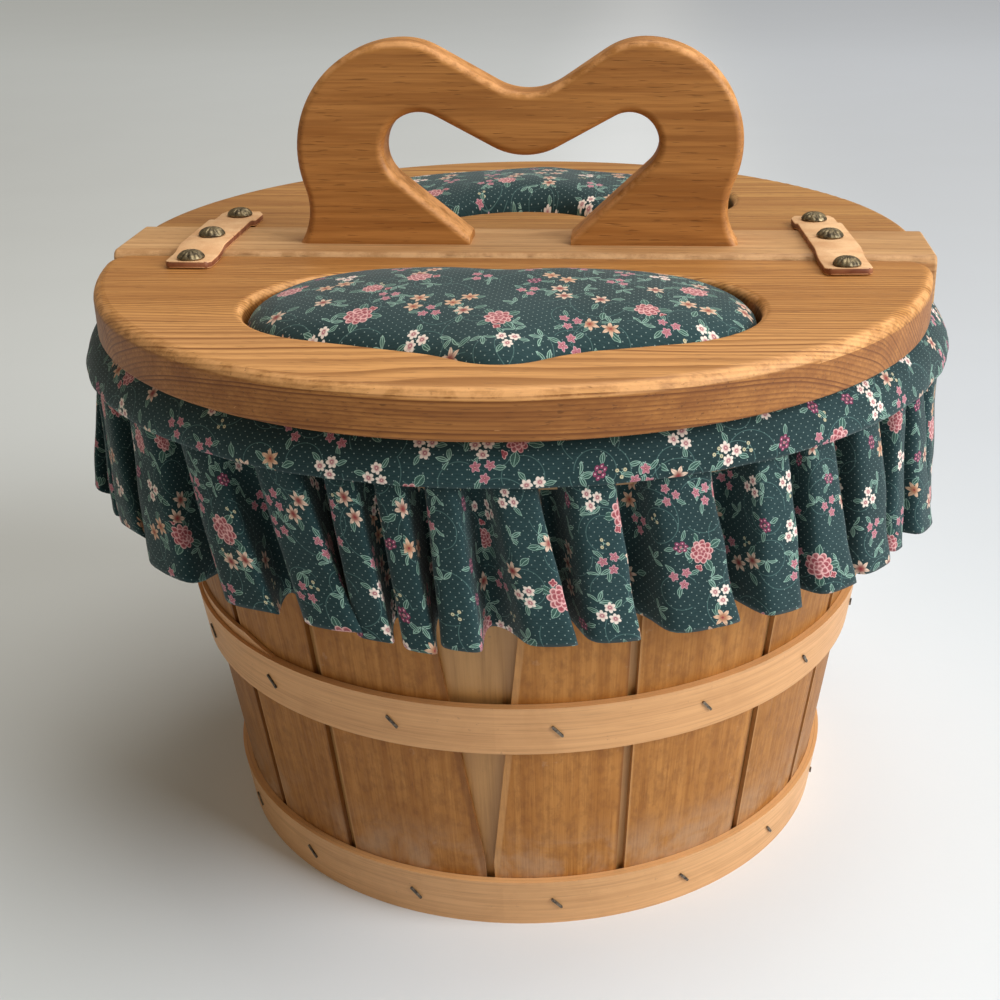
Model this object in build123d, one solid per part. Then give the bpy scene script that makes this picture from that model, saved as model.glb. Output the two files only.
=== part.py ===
from build123d import *
import math
import os

# Sewing basket of wooden slats: a tapered veneer basket with a fabric rim and ruffle, a cross bar
# with a heart-shaped handle, and two half-round padded lids hinged to the bar by leather straps.
# Millimetres, Z up, origin on the floor under the middle. X runs along the bar, the front is -Y.

# Basket wall, a cone whose reference surface is the outside of the outer staves
foot_radius = 138.5
mouth_radius = 171.0
wall_height = 242.0
stave_count = 16
stave_thickness = 2.2
stave_gap_angle = 1.5
layer_gap = 0.1
wedge_azimuth = -2.2
wedge_start_height = 18.0
wedge_spread = 0.124
inner_stave_gap_angle = 1.0
# Degrees by which a gap beside the front wedge is off its even place, counted from the wedge
gap_shift = {-2: -0.9, -1: -4.1, 1: 0.1, 2: 1.6, 3: -1.9}

# Hoops, each a strip wound twice round the outside
strip_thickness = 1.7
bottom_hoop_height = 24.0
middle_hoop_base = 95.0
middle_hoop_height = 23.0
lap_rise = 5.0
lap_from_azimuth = -150.0
lap_to_azimuth = -38.0
lap_taper_angle = 14.0
lap_toe = 1.0  # the slanted end stops this far past the hoop's edge

# Rim hoops, one outside and one inside the staves
rim_hoop_height = 23.0
rim_outer_thickness = 8.0
rim_inner_thickness = 3.4

# Wire staples, one through the middle of each stave at each hoop
staple_length = 7.0
staple_width = 1.1
staple_height = 0.7
staple_tilt = 50.0

# Bottom
board_base = 8.0
board_thickness = 10.0
board_clearance = 0.3
lining_card_thickness = 2.0

# Fabric
fabric_thickness = 1.0
fabric_clearance = 0.2
band_outer_depth = 17.5
band_inner_depth = 13.0
band_flare = 10.0
band_fullness = 1.8
ruffle_length = 62.0
ruffle_fold_count = 40
ruffle_radial_thickness = 1.6
ruffle_top_wave = 1.2
ruffle_hem_draw_in = 2.5
ruffle_hem_wave = 5.5
ruffle_hem_variation = 0.5
ruffle_variation_count = 6

# Lids and bar
lid_rest_gap = 0.3
lid_side_setback = 1.3
lid_side_shift = -1.9  # the lids hang a little to the left
lid_centre_offset = 14.0
lid_thickness = 19.0
lid_round_over = 5.0
lid_lower_round = 1.5
lid_corner_radius = 14.0
lid_rear_trim = 6.0
lid_bar_gap = 1.0
bar_end_setback = 1.0
bar_width = 48.0
bar_thickness = 21.0
bar_round_over = 4.0
bar_end_round = 1.5

# Heart-shaped cut-out of each lid, measured from the middle of the bar and the lid's sides
heart_side_margin = 58.8
heart_lobe_gap = 9.0
heart_lobe_distance = 95.0
heart_notch_radius = 50.0
heart_flank_angle = 17.0
heart_flank_radius = 60.0
heart_tip_radius = 23.0
heart_tip_proud = 5.4  # how far the round tip reaches past the line of the flanks
heart_tip_shift = 5.0
heart_edge_round = 3.5
back_heart_shift = -3.0  # the back cut-out sits further left
pad_board_thickness = 4.0
pad_board_clearance = 0.3
pad_side_clearance = 0.5
pad_crown = 10.0
pad_crown_steps = (0.10, 0.28, 0.55, 0.88)  # shares of the way in from the pad's edge
pad_base_draw_in = 1.2

# Handle, a board sawn and routed by hand, its two halves not quite alike, that stands on the bar
handle_thickness = 19.0
handle_height = 86.8
handle_left_lobe_x = 50.0
handle_left_lobe_radius = 47.4
handle_right_lobe_x = 53.8
handle_right_lobe_radius = 42.7
handle_lobe_inner_radius = 31.0
handle_dip_x = 3.8
handle_dip_height = 65.6
handle_dip_radius = 28.0
handle_waist_radius = 28.0
handle_waist_height = 16.0
grip_top_height = 57.0
grip_left_lobe_x = 43.0
grip_left_lobe_radius = 16.0
grip_right_lobe_x = 47.5
grip_right_lobe_radius = 12.8
grip_point_x = 2.7
grip_point_height = 38.8
grip_point_radius = 30.0
grip_toe_x = 22.3
grip_toe_height = 3.5
handle_edge_round = 3.5

# Screws and blocks under the bar
screw_radius = 2.0
screw_head_radius = 4.2
screw_head_height = 2.6
screw_clearance = 0.1
handle_screw_places = (52.0, 80.0)
handle_screw_bite = 15.0
block_length = 20.0
block_width = 44.0
block_height = 25.0
block_screw_spacing = 24.0
block_screw_bite = 14.0
block_screw_inset = 9.0

# Leather straps and dome nails
strap_width = 20.0
strap_thickness = 3.0
strap_half_length = 47.0
strap_end_distance = 40.5
right_strap_slant = 4.5
right_strap_inward = 3.4
right_strap_forward = 2.6
left_middle_nail_forward = 7.0
strap_clearance = 0.1
strap_bend_run = 9.0
strap_bend_inset = 2.0
strap_bend_radius = 4.0
strap_corner_radius = 2.0
nail_head_radius = 6.1
nail_head_height = 3.8
nail_shank_radius = 0.9
nail_shank_length = 15.0
nail_clearance = 0.1
nail_spacing = 40.0

# Heights and places that follow from the sizes above
taper = (mouth_radius - foot_radius) / wall_height
outer_stave_face = 0.0
inner_stave_face = outer_stave_face - stave_thickness - layer_gap
wall_inside = inner_stave_face - stave_thickness
first_turn = outer_stave_face + layer_gap
second_turn = first_turn + strip_thickness + layer_gap
hoop_face = second_turn + strip_thickness
rim_inside = wall_inside - layer_gap - rim_inner_thickness
lining_face = rim_inside - fabric_clearance
rim_base = wall_height - rim_hoop_height
rim_outside = layer_gap + rim_outer_thickness
band_face = rim_outside + fabric_clearance + fabric_thickness
band_top = wall_height + fabric_clearance + fabric_thickness
band_base = band_top - band_outer_depth
lid_base = band_top + lid_rest_gap
lid_top = lid_base + lid_thickness
bar_top = lid_base + bar_thickness
lid_rear = bar_width / 2 + lid_bar_gap
board_top = board_base + board_thickness
far = 3 * mouth_radius
edge_tolerance = 0.01


def wall_radius(height, offset=0.0):
    return foot_radius + taper * height + offset


# The boards above follow the fabric band, and what sits on them follows the boards
band_edge_radius = wall_radius(band_top, band_face)
band_seam_radius = wall_radius(band_base, band_face) + band_flare
lid_radius = band_edge_radius - lid_side_setback
bar_length = 2 * (band_edge_radius - bar_end_setback)
strap_x = bar_length / 2 - strap_end_distance
lid_half_width = math.sqrt(lid_radius ** 2 - (heart_lobe_distance - lid_centre_offset) ** 2)
heart_reach = lid_half_width - heart_side_margin
heart_lobe_radius = (heart_reach - heart_lobe_gap) / 2
heart_lobe_x = heart_reach - heart_lobe_radius


def place_at(azimuth):
    # Azimuth is counted from the front, positive towards +X
    return Rot(0, 0, azimuth - 90)


def tangent_point(centre, radius, angle):
    return (
        centre[0] + radius * math.cos(math.radians(angle)),
        centre[1] + radius * math.sin(math.radians(angle)),
    )


def spun(points, azimuth=0.0, sweep=360.0):
    # Turns an outline of (radius, height) points about the basket's axis
    face = Plane.XZ * make_face(Polyline(*points, close=True))
    return place_at(azimuth) * revolve(face, Axis.Z, sweep)


def wall_layer(low, high, inner, outer, azimuth=0.0, sweep=360.0):
    # A part of the conical wall between two heights and two offsets from the outer staves
    outline = [
        (wall_radius(low, inner), low),
        (wall_radius(low, outer), low),
        (wall_radius(high, outer), high),
        (wall_radius(high, inner), high),
    ]
    return spun(outline, azimuth, sweep)


def gap_azimuth(number):
    pitch = 360.0 / stave_count
    turns = number // stave_count
    near = number - stave_count * turns
    if near > stave_count / 2:
        near -= stave_count
        turns += 1
    return wedge_azimuth + pitch * near + 360.0 * turns + gap_shift.get(near, 0.0)


def stave_middle(number):
    return (gap_azimuth(number) + gap_azimuth(number + 1)) / 2


def front_wedge():
    # The two staves beside the front gap keep their width, so the gap between them opens upwards
    top_half_width = wedge_spread * (wall_height - wedge_start_height)
    outline = Polyline(
        (0, wedge_start_height),
        (top_half_width, wall_height),
        (-top_half_width, wall_height),
        close=True,
    )
    wedge = extrude(Plane.XZ * make_face(outline), amount=2 * mouth_radius)
    return Rot(0, 0, wedge_azimuth) * wedge


def outer_stave(number):
    start = gap_azimuth(number) + stave_gap_angle / 2
    sweep = gap_azimuth(number + 1) - stave_gap_angle / 2 - start
    stave = wall_layer(0, wall_height, outer_stave_face - stave_thickness, outer_stave_face, start, sweep)
    if number in (0, stave_count - 1):
        stave -= front_wedge()
    return stave


def inner_stave(number):
    start = stave_middle(number - 1) + inner_stave_gap_angle / 2
    sweep = stave_middle(number) - inner_stave_gap_angle / 2 - start
    return wall_layer(0, wall_height, wall_inside, inner_stave_face, start, sweep)


def hoop_turn(base, height, offset):
    return wall_layer(base, base + height, offset, offset + strip_thickness)


def middle_hoop_first_turn():
    # The end of the strip stands above the hoop on the left, and runs out in a slanted cut
    top = middle_hoop_base + middle_hoop_height
    face = first_turn + strip_thickness
    sweep = lap_to_azimuth - lap_from_azimuth
    end = wall_layer(middle_hoop_base, top + lap_rise, first_turn, face, lap_from_azimuth, sweep)
    rest = wall_layer(middle_hoop_base, top, first_turn, face, lap_to_azimuth, 360 - sweep)
    run_out = far * math.tan(math.radians(lap_taper_angle))
    above = Polyline((lap_toe, top), (lap_toe - far, top + run_out), (lap_toe, top + run_out), close=True)
    cut = extrude(Plane.XZ * make_face(above), amount=far)
    return rest + (end - Rot(0, 0, lap_to_azimuth) * cut)


def staple(azimuth, height, offset):
    # Only the crown lies on the hoop, tilted down to the right
    lean = math.degrees(math.atan(taper))
    crown = extrude(Rot(0, 0, -staple_tilt) * SlotOverall(staple_length, staple_width), amount=staple_height)
    origin = (wall_radius(height, offset + layer_gap), 0, height)
    seat = Plane(origin=origin, x_dir=(0, 1, 0), z_dir=(1, 0, 0))
    return place_at(azimuth) * (seat * (Rot(lean, 0, 0) * crown))


def staple_row(base, height, offset):
    middle = base + height / 2
    return [staple(stave_middle(n), middle, offset) for n in range(stave_count)]


def bottom_board():
    radius = wall_radius(board_base, wall_inside - board_clearance)
    return Pos(0, 0, board_base) * extrude(Circle(radius), amount=board_thickness)


def lining_floor():
    low = board_top + layer_gap
    radius = wall_radius(low, lining_face - fabric_thickness - board_clearance)
    return Pos(0, 0, low) * extrude(Circle(radius), amount=lining_card_thickness)


def lining_wall():
    high = band_top - band_inner_depth - fabric_clearance
    return wall_layer(board_top + layer_gap, high, lining_face - fabric_thickness, lining_face)


def rim_band():
    # A casing that wraps the rim hoops: down the inside, over the top, and outside in a full curve
    # that the gathers push away from the hoop at its lower seam
    under = band_top - fabric_thickness
    low_in = band_top - band_inner_depth
    inner_face = lining_face - fabric_thickness
    middle = (band_base + band_top) / 2
    bulge = wall_radius(middle, band_face) + band_flare / 2 + band_fullness
    outer = ThreePointArc((band_edge_radius, band_top), (bulge, middle), (band_seam_radius, band_base))
    inner = ThreePointArc(
        (band_seam_radius - fabric_thickness, band_base),
        (bulge - fabric_thickness, middle),
        (band_edge_radius - fabric_thickness, under),
    )
    lining = Polyline(
        inner.position_at(1),
        (wall_radius(under, lining_face), under),
        (wall_radius(low_in, lining_face), low_in),
        (wall_radius(low_in, inner_face), low_in),
        (wall_radius(band_top, inner_face), band_top),
        (band_edge_radius, band_top),
    )
    seam = Line(outer.position_at(1), inner.position_at(0))
    return revolve(Plane.XZ * make_face([outer, seam, inner, lining]), Axis.Z)


def fold_outline(height, radius, wave, variation):
    # Folds as arcs that bulge outwards and inwards in turn
    count = 2 * ruffle_fold_count
    arcs = []
    for n in range(count):
        side = 1 if n % 2 == 0 else -1
        swell = 1 + variation * math.cos(2 * math.pi * ruffle_variation_count * n / count) / 2
        depth = wave * swell
        turns = [(n + step / 2 - 0.5) * 2 * math.pi / count for step in range(3)]
        radii = [radius, radius + side * depth, radius]
        arcs.append(ThreePointArc(*[(r * math.cos(t), r * math.sin(t)) for r, t in zip(radii, turns)]))
    return Pos(0, 0, height) * make_face(arcs)


def ruffle():
    # Gathered close under the band's seam, with folds that open towards the hem
    top = band_base - fabric_clearance
    hem = top - ruffle_length
    top_radius = band_seam_radius - fabric_clearance - ruffle_top_wave
    hem_radius = top_radius - ruffle_hem_draw_in
    skins = []
    for inset in (0.0, ruffle_radial_thickness):
        skins.append(loft([
            fold_outline(hem, hem_radius - inset, ruffle_hem_wave, ruffle_hem_variation),
            fold_outline(top, top_radius - inset, ruffle_top_wave, 0.0),
        ], ruled=True))
    return skins[0] - skins[1]


def heart_half(inset, side):
    # One side of the cut-out, from the notch to the tip: lobe, straight flank, hollow and half the tip
    lobe = heart_lobe_radius - inset
    tip = heart_tip_radius - inset
    hollow = heart_flank_radius + inset
    notch = heart_notch_radius + inset
    notch_rise = math.sqrt((heart_lobe_radius + heart_notch_radius) ** 2 - heart_lobe_x ** 2)
    meet = math.degrees(math.atan2(notch_rise, -heart_lobe_x))
    flank = math.radians(heart_flank_angle)
    flank_end = heart_flank_angle - 90
    lobe_side = heart_flank_angle / 2
    lobe_centre = (heart_lobe_x, -heart_lobe_distance)
    lobe_out = tangent_point(lobe_centre, lobe, flank_end)

    # The tip's centre, from the line of the flank
    line = tangent_point(lobe_centre, heart_lobe_radius, flank_end)
    tip_depth = heart_tip_radius - heart_tip_proud
    tip_y = line[1] + (tip_depth - line[0] * math.sin(flank)) / math.cos(flank)
    tip_centre = (side * heart_tip_shift, tip_y)

    # The hollow's centre, from the flank and the tip
    across = (tip_centre[0] - line[0]) * math.sin(flank) - (tip_centre[1] - line[1]) * math.cos(flank)
    along = (line[0] - tip_centre[0]) * math.cos(flank) + (line[1] - tip_centre[1]) * math.sin(flank)
    back = math.sqrt((heart_flank_radius + heart_tip_radius) ** 2 - (heart_flank_radius - across) ** 2)
    start = tangent_point(line, along - back, heart_flank_angle + 180)
    centre = tangent_point(start, heart_flank_radius, flank_end)
    tip_angle = math.degrees(math.atan2(centre[1] - tip_centre[1], centre[0] - tip_centre[0]))
    hollow_angles = (heart_flank_angle + 90, tip_angle + 180)

    points = [
        (0, -heart_lobe_distance + notch_rise - notch),
        tangent_point(lobe_centre, lobe, meet),
        tangent_point(lobe_centre, lobe, (meet + lobe_side) / 2),
        tangent_point(lobe_centre, lobe, lobe_side),
        tangent_point(lobe_centre, lobe, (lobe_side + flank_end) / 2),
        lobe_out,
        tangent_point(centre, hollow, hollow_angles[0]),
        tangent_point(centre, hollow, sum(hollow_angles) / 2),
        tangent_point(centre, hollow, hollow_angles[1]),
        (tip_centre[0], tip_centre[1] - tip),
    ]
    return [(side * x, y) for x, y in points]


def heart_outline(inset, shrunk_to=1.0):
    # The cut-out of the front lid, drawn in by inset all round, or shrunk towards the middle of its lobes
    halves = []
    for side in (-1, 1):
        half = heart_half(inset, side)
        halves.append([(x * shrunk_to, (y + heart_lobe_distance) * shrunk_to) for x, y in half])
    left, right = halves
    edges = [ThreePointArc(left[1], right[0], right[1])]
    for half in (right, left):
        edges += [
            ThreePointArc(half[1], half[2], half[3]),
            ThreePointArc(half[3], half[4], half[5]),
            Line(half[5], half[6]),
            ThreePointArc(half[6], half[7], half[8]),
        ]
    edges.append(ThreePointArc(right[8], right[9], left[8]))
    return Pos(0, -heart_lobe_distance) * make_face(edges)


def lid(heart_shift):
    # Rounded all round its top edge as a wider board, then sawn straight along the bar
    outline = Pos(lid_side_shift, -lid_centre_offset) * Circle(lid_radius)
    outline -= Pos(0, far / 2 - lid_rear + lid_rear_trim) * Rectangle(2 * far, far)
    outline = fillet(outline.vertices(), lid_corner_radius)
    board = Pos(0, 0, lid_base) * extrude(outline, amount=lid_thickness)
    board = fillet(board.faces().sort_by(Axis.Z)[-1].edges(), lid_round_over)
    board = fillet(board.faces().sort_by(Axis.Z)[0].edges(), lid_lower_round)
    board -= Pos(0, far / 2 - lid_rear, lid_base) * Box(2 * far, far, far)
    board -= Pos(heart_shift, 0, lid_base) * extrude(heart_outline(0), amount=lid_thickness)
    board = fillet(board.faces().sort_by(Axis.Z)[-1].inner_wires()[0].edges(), heart_edge_round)
    return board


def drilled(board, row):
    for side in (-1, 1):
        board -= nail_hole(side, row, lid_top)
    return board


def pad_board():
    return Pos(0, 0, lid_base) * extrude(heart_outline(pad_board_clearance), amount=pad_board_thickness)


def pad():
    # Sides drawn in at the board and under the lid's rounded edge, and a crown above the lid
    low = lid_base + pad_board_thickness + layer_gap
    shoulder = lid_top - heart_edge_round
    rows = [
        (pad_side_clearance + pad_base_draw_in, low),
        (pad_side_clearance, (low + shoulder) / 2),
        (pad_side_clearance + pad_base_draw_in / 2, shoulder),
    ]
    sections = [Pos(0, 0, height) * heart_outline(inset) for inset, height in rows]
    depth = pad_crown + heart_edge_round
    for share in pad_crown_steps:
        rise = math.sqrt(1 - (1 - share) ** 2)
        sections.append(Pos(0, 0, shoulder + depth * rise) * heart_outline(pad_side_clearance, 1 - share))
    return loft(sections, ruled=True)


def strap_place(side):
    # The right strap lies a little askew, its back end nearer the middle
    if side < 0:
        return Pos(-strap_x, 0, 0)
    return Pos(strap_x - right_strap_inward, 0, 0) * Rot(0, 0, right_strap_slant)


def nail_distance(side, row):
    # Rows count from -1 at the front over 0 on the bar to 1 at the back
    if side > 0:
        return row * nail_spacing - right_strap_forward
    return row * nail_spacing if row else -left_middle_nail_forward


def nail_hole(side, row, surface):
    hole = Cylinder(nail_shank_radius + nail_clearance, 2 * nail_shank_length)
    return strap_place(side) * Pos(0, nail_distance(side, row), surface) * hole


def nail(side, row, surface):
    # A domed head on a round shank, seated on the leather
    dome_radius = (nail_head_radius ** 2 + nail_head_height ** 2) / (2 * nail_head_height)
    dome_centre = (0, nail_head_height - dome_radius)
    rim_angle = math.degrees(math.acos(nail_head_radius / dome_radius))
    outline = [
        (nail_head_radius, 0),
        (nail_shank_radius, 0),
        (nail_shank_radius, nail_shank_radius - nail_shank_length),
        (0, -nail_shank_length),
        (0, nail_head_height),
    ]
    edges = [Line(a, b) for a, b in zip(outline, outline[1:])]
    shoulder = tangent_point(dome_centre, dome_radius, (90 + rim_angle) / 2)
    edges.append(ThreePointArc(outline[-1], shoulder, outline[0]))
    seat = surface + strap_clearance + strap_thickness + strap_clearance
    shape = revolve(Plane.XZ * make_face(edges), Axis.Z)
    return strap_place(side) * Pos(0, nail_distance(side, row), seat) * shape


def strap(side):
    # Flat on each lid, then up in a soft bend over the bar
    low = lid_top + strap_clearance
    high = bar_top + strap_clearance
    bend_high = bar_width / 2 - strap_bend_inset
    bend_low = bend_high + strap_bend_run
    forward = right_strap_forward if side > 0 else 0.0
    under = [
        (-strap_half_length - forward, low),
        (-bend_low, low),
        (-bend_high, high),
        (bend_high, high),
        (bend_low, low),
        (strap_half_length - forward, low),
    ]
    over = [(y, z + strap_thickness) for y, z in reversed(under)]
    face = Plane.YZ * make_face(Polyline(*under, *over, close=True))
    leather = extrude(face, amount=strap_width / 2, both=True)
    bends = leather.edges().filter_by(Axis.X).filter_by(lambda e: abs(e.center().Y) < nail_spacing)
    leather = fillet(bends, strap_bend_radius)
    leather = fillet(leather.edges().filter_by(Axis.Z), strap_corner_radius)
    leather = strap_place(side) * leather
    for row in (-1, 0, 1):
        leather -= nail_hole(side, row, lid_top)
    return leather


def joining_slope(lower, lower_radius, upper, upper_radius):
    # Degrees by which the line rises that touches the upper circle's underside and the lower one's top
    run, rise = abs(lower[0] - upper[0]), upper[1] - lower[1]
    reach = math.hypot(run, rise)
    return math.degrees(math.asin((lower_radius + upper_radius) / reach) - math.atan2(rise, run))


def handle_half_edges(side):
    # One half of the outside: dip, sloping line, lobe, waist and foot, from the middle outwards
    lobe_x = handle_right_lobe_x if side > 0 else handle_left_lobe_x
    radius = handle_right_lobe_radius if side > 0 else handle_left_lobe_radius
    lobe = (lobe_x, handle_height - radius)
    lobe_in = (lobe_x, handle_height - handle_lobe_inner_radius)
    dip = (side * handle_dip_x, handle_dip_height + handle_dip_radius)
    slope = joining_slope(lobe_in, handle_lobe_inner_radius, dip, handle_dip_radius)
    reach = radius + handle_waist_radius
    drop = lobe[1] - handle_waist_height
    waist = (lobe[0] + math.sqrt(reach ** 2 - drop ** 2), handle_waist_height)
    meet = math.degrees(math.asin(-drop / reach))
    foot_angle = 180 + math.degrees(math.asin(handle_waist_height / handle_waist_radius))
    bend = (180 + meet + foot_angle) / 2
    points = [
        tangent_point(dip, handle_dip_radius, -90),
        tangent_point(dip, handle_dip_radius, slope / 2 - 90),
        tangent_point(dip, handle_dip_radius, slope - 90),
        tangent_point(lobe_in, handle_lobe_inner_radius, 90 + slope),
        tangent_point(lobe_in, handle_lobe_inner_radius, 90 + slope / 2),
        (lobe_x, handle_height),
        tangent_point(lobe, radius, (90 + meet) / 2),
        tangent_point(lobe, radius, meet),
        tangent_point(waist, handle_waist_radius, bend),
        tangent_point(waist, handle_waist_radius, foot_angle),
    ]
    points = [(side * x, z) for x, z in points]
    return [
        ThreePointArc(*points[0:3]),
        Line(points[2], points[3]),
        ThreePointArc(*points[3:6]),
        ThreePointArc(*points[5:8]),
        ThreePointArc(*points[7:10]),
    ]


def grip_half_edges(side):
    # One half of the hand opening, from the bar up to the point in the middle of its top
    lobe_x = grip_right_lobe_x if side > 0 else grip_left_lobe_x
    radius = grip_right_lobe_radius if side > 0 else grip_left_lobe_radius
    lobe = (lobe_x, grip_top_height - radius)
    run, rise = lobe[0] - grip_toe_x, lobe[1] - grip_toe_height
    side_angle = math.degrees(math.atan2(rise, run) - math.asin(radius / math.hypot(run, rise)))
    point = (side * grip_point_x, grip_point_height + grip_point_radius)
    slope = joining_slope(lobe, radius, point, grip_point_radius)
    low_angle, high_angle = side_angle - 90, 90 + slope
    quarter = (high_angle - low_angle) / 4
    bends = [tangent_point(lobe, radius, low_angle + n * quarter) for n in range(5)]
    points = [
        (grip_toe_x, 0),
        (grip_toe_x, grip_toe_height),
        *bends,
        tangent_point(point, grip_point_radius, slope - 90),
        tangent_point(point, grip_point_radius, slope / 2 - 90),
        tangent_point(point, grip_point_radius, -90),
    ]
    points = [(side * x, z) for x, z in points]
    return [
        Line(points[0], points[1]),
        Line(points[1], points[2]),
        ThreePointArc(*points[2:5]),
        ThreePointArc(*points[4:7]),
        Line(points[6], points[7]),
        ThreePointArc(*points[7:10]),
    ]


def handle():
    left, right = handle_half_edges(-1), handle_half_edges(1)
    foot = Line(left[-1].position_at(1), right[-1].position_at(1))
    face = make_face([*left, *right, foot])
    left, right = grip_half_edges(-1), grip_half_edges(1)
    face -= make_face([*left, *right, Line(left[0].position_at(0), right[0].position_at(0))])
    board = Pos(0, 0, bar_top) * extrude(Plane.XZ * face, amount=handle_thickness / 2, both=True)
    rim = board.edges().filter_by(lambda e: abs(abs(e.center().Y) - handle_thickness / 2) < edge_tolerance)
    rim = rim.filter_by(lambda e: e.center().Z > bar_top + grip_toe_height)
    board = fillet(rim, handle_edge_round)
    for x in handle_screw_places:
        for side in (-1, 1):
            board -= screw_hole(side * x, 0, lid_base, bar_thickness + handle_screw_bite)
    return board


def screw(x, y, base, length):
    # A countersunk screw driven upwards from base
    half = [
        (0, base),
        (screw_head_radius, base),
        (screw_radius, base + screw_head_height),
        (screw_radius, base + length - screw_radius),
        (0, base + length),
    ]
    return Pos(x, y, 0) * revolve(Plane.XZ * make_face(Polyline(*half, close=True)), Axis.Z)


def screw_hole(x, y, base, length):
    play = screw_clearance
    half = [
        (0, base - play),
        (screw_head_radius + play, base - play),
        (screw_head_radius + play, base),
        (screw_radius + play, base + screw_head_height + play),
        (screw_radius + play, base + length + play),
        (0, base + length + play),
    ]
    return Pos(x, y, 0) * revolve(Plane.XZ * make_face(Polyline(*half, close=True)), Axis.Z)


def block_place(side):
    # The block's outer face follows the lining, so its middle is half a block inside it
    outer = wall_radius(band_top - block_height, lining_face - fabric_thickness - fabric_clearance)
    return side * (outer - block_screw_inset)


def bar_block(side):
    base = band_top - block_height
    outer = wall_radius(base, lining_face - fabric_thickness - fabric_clearance)
    outer_top = outer + taper * block_height
    inner = outer - block_length
    box = Box(outer_top - inner, block_width, block_height)
    follow = spun([(0, base), (outer, base), (outer_top, band_top), (0, band_top)])
    block = Pos(side * (outer_top + inner) / 2, 0, base + block_height / 2) * box & follow
    for y in (-block_screw_spacing / 2, block_screw_spacing / 2):
        block -= screw_hole(block_place(side), y, base, block_height + block_screw_bite)
    return block


def block_screws():
    base = band_top - block_height
    length = block_height + block_screw_bite
    places = [(side, y) for side in (-1, 1) for y in (-block_screw_spacing / 2, block_screw_spacing / 2)]
    return [screw(block_place(side), y, base, length) for side, y in places]


def cross_bar():
    bar = Pos(0, 0, lid_base + bar_thickness / 2) * Box(bar_length, bar_width, bar_thickness)
    top = bar.faces().sort_by(Axis.Z)[-1]
    bar = fillet(top.edges().filter_by(Axis.X), bar_round_over)
    ends = bar.edges().filter_by(lambda e: abs(e.center().X) > bar_length / 2 - edge_tolerance)
    bar = fillet(ends, bar_end_round)
    for x in handle_screw_places:
        for side in (-1, 1):
            bar -= screw_hole(side * x, 0, lid_base, bar_thickness + handle_screw_bite)
    base = band_top - block_height
    for side in (-1, 1):
        for y in (-block_screw_spacing / 2, block_screw_spacing / 2):
            bar -= screw_hole(block_place(side), y, base, block_height + block_screw_bite)
        bar -= nail_hole(side, 0, bar_top)
    return bar


def handle_screws():
    length = bar_thickness + handle_screw_bite
    return [screw(side * x, 0, lid_base, length) for x in handle_screw_places for side in (-1, 1)]


def save(name, *solids):
    shape = solids[0] if len(solids) == 1 else Compound(children=[Part() + s for s in solids])
    export_step(shape, f"parts/{name}.step")


os.makedirs("parts", exist_ok=True)

# The basket
save("bottom_board", bottom_board())
for number in range(stave_count):
    save(f"outer_stave_{number + 1:02d}", outer_stave(number))
save("inner_staves", *[inner_stave(number) for number in range(stave_count)])
save("bottom_hoop_first_turn", hoop_turn(0, bottom_hoop_height, first_turn))
save("bottom_hoop_second_turn", hoop_turn(0, bottom_hoop_height, second_turn))
save("middle_hoop_first_turn", middle_hoop_first_turn())
save("middle_hoop_second_turn", hoop_turn(middle_hoop_base, middle_hoop_height, second_turn))
save("rim_hoop_outer", wall_layer(rim_base, wall_height, layer_gap, rim_outside))
save("rim_hoop_inner", wall_layer(rim_base, wall_height, rim_inside, rim_inside + rim_inner_thickness))
save("bottom_hoop_staples", *staple_row(0, bottom_hoop_height, hoop_face))
save("middle_hoop_staples", *staple_row(middle_hoop_base, middle_hoop_height, hoop_face))

# The fabric
save("lining_floor", lining_floor())
save("lining_wall", lining_wall())
save("rim_band", rim_band())
save("ruffle", ruffle())

# The bar and the handle
save("cross_bar", cross_bar())
save("handle", handle())
save("handle_screws", *handle_screws())
save("bar_block_left", bar_block(-1))
save("bar_block_right", bar_block(1))
save("bar_block_screws", *block_screws())

# The lids
save("front_lid", drilled(lid(0), -1))
save("back_lid", drilled(mirror(lid(back_heart_shift), Plane.XZ), 1))
save("front_pad_board", pad_board())
save("back_pad_board", Pos(back_heart_shift, 0, 0) * mirror(pad_board(), Plane.XZ))
save("front_pad", pad())
save("back_pad", Pos(back_heart_shift, 0, 0) * mirror(pad(), Plane.XZ))

# The hinges
save("left_strap", strap(-1))
save("right_strap", strap(1))
save("front_strap_nails", nail(-1, -1, lid_top), nail(1, -1, lid_top))
save("bar_strap_nails", nail(-1, 0, bar_top), nail(1, 0, bar_top))
save("back_strap_nails", nail(-1, 1, lid_top), nail(1, 1, lid_top))
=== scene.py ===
import bpy
import math
import random
import numpy as np
from mathutils import Matrix, Vector, noise as fieldNoise


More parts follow.
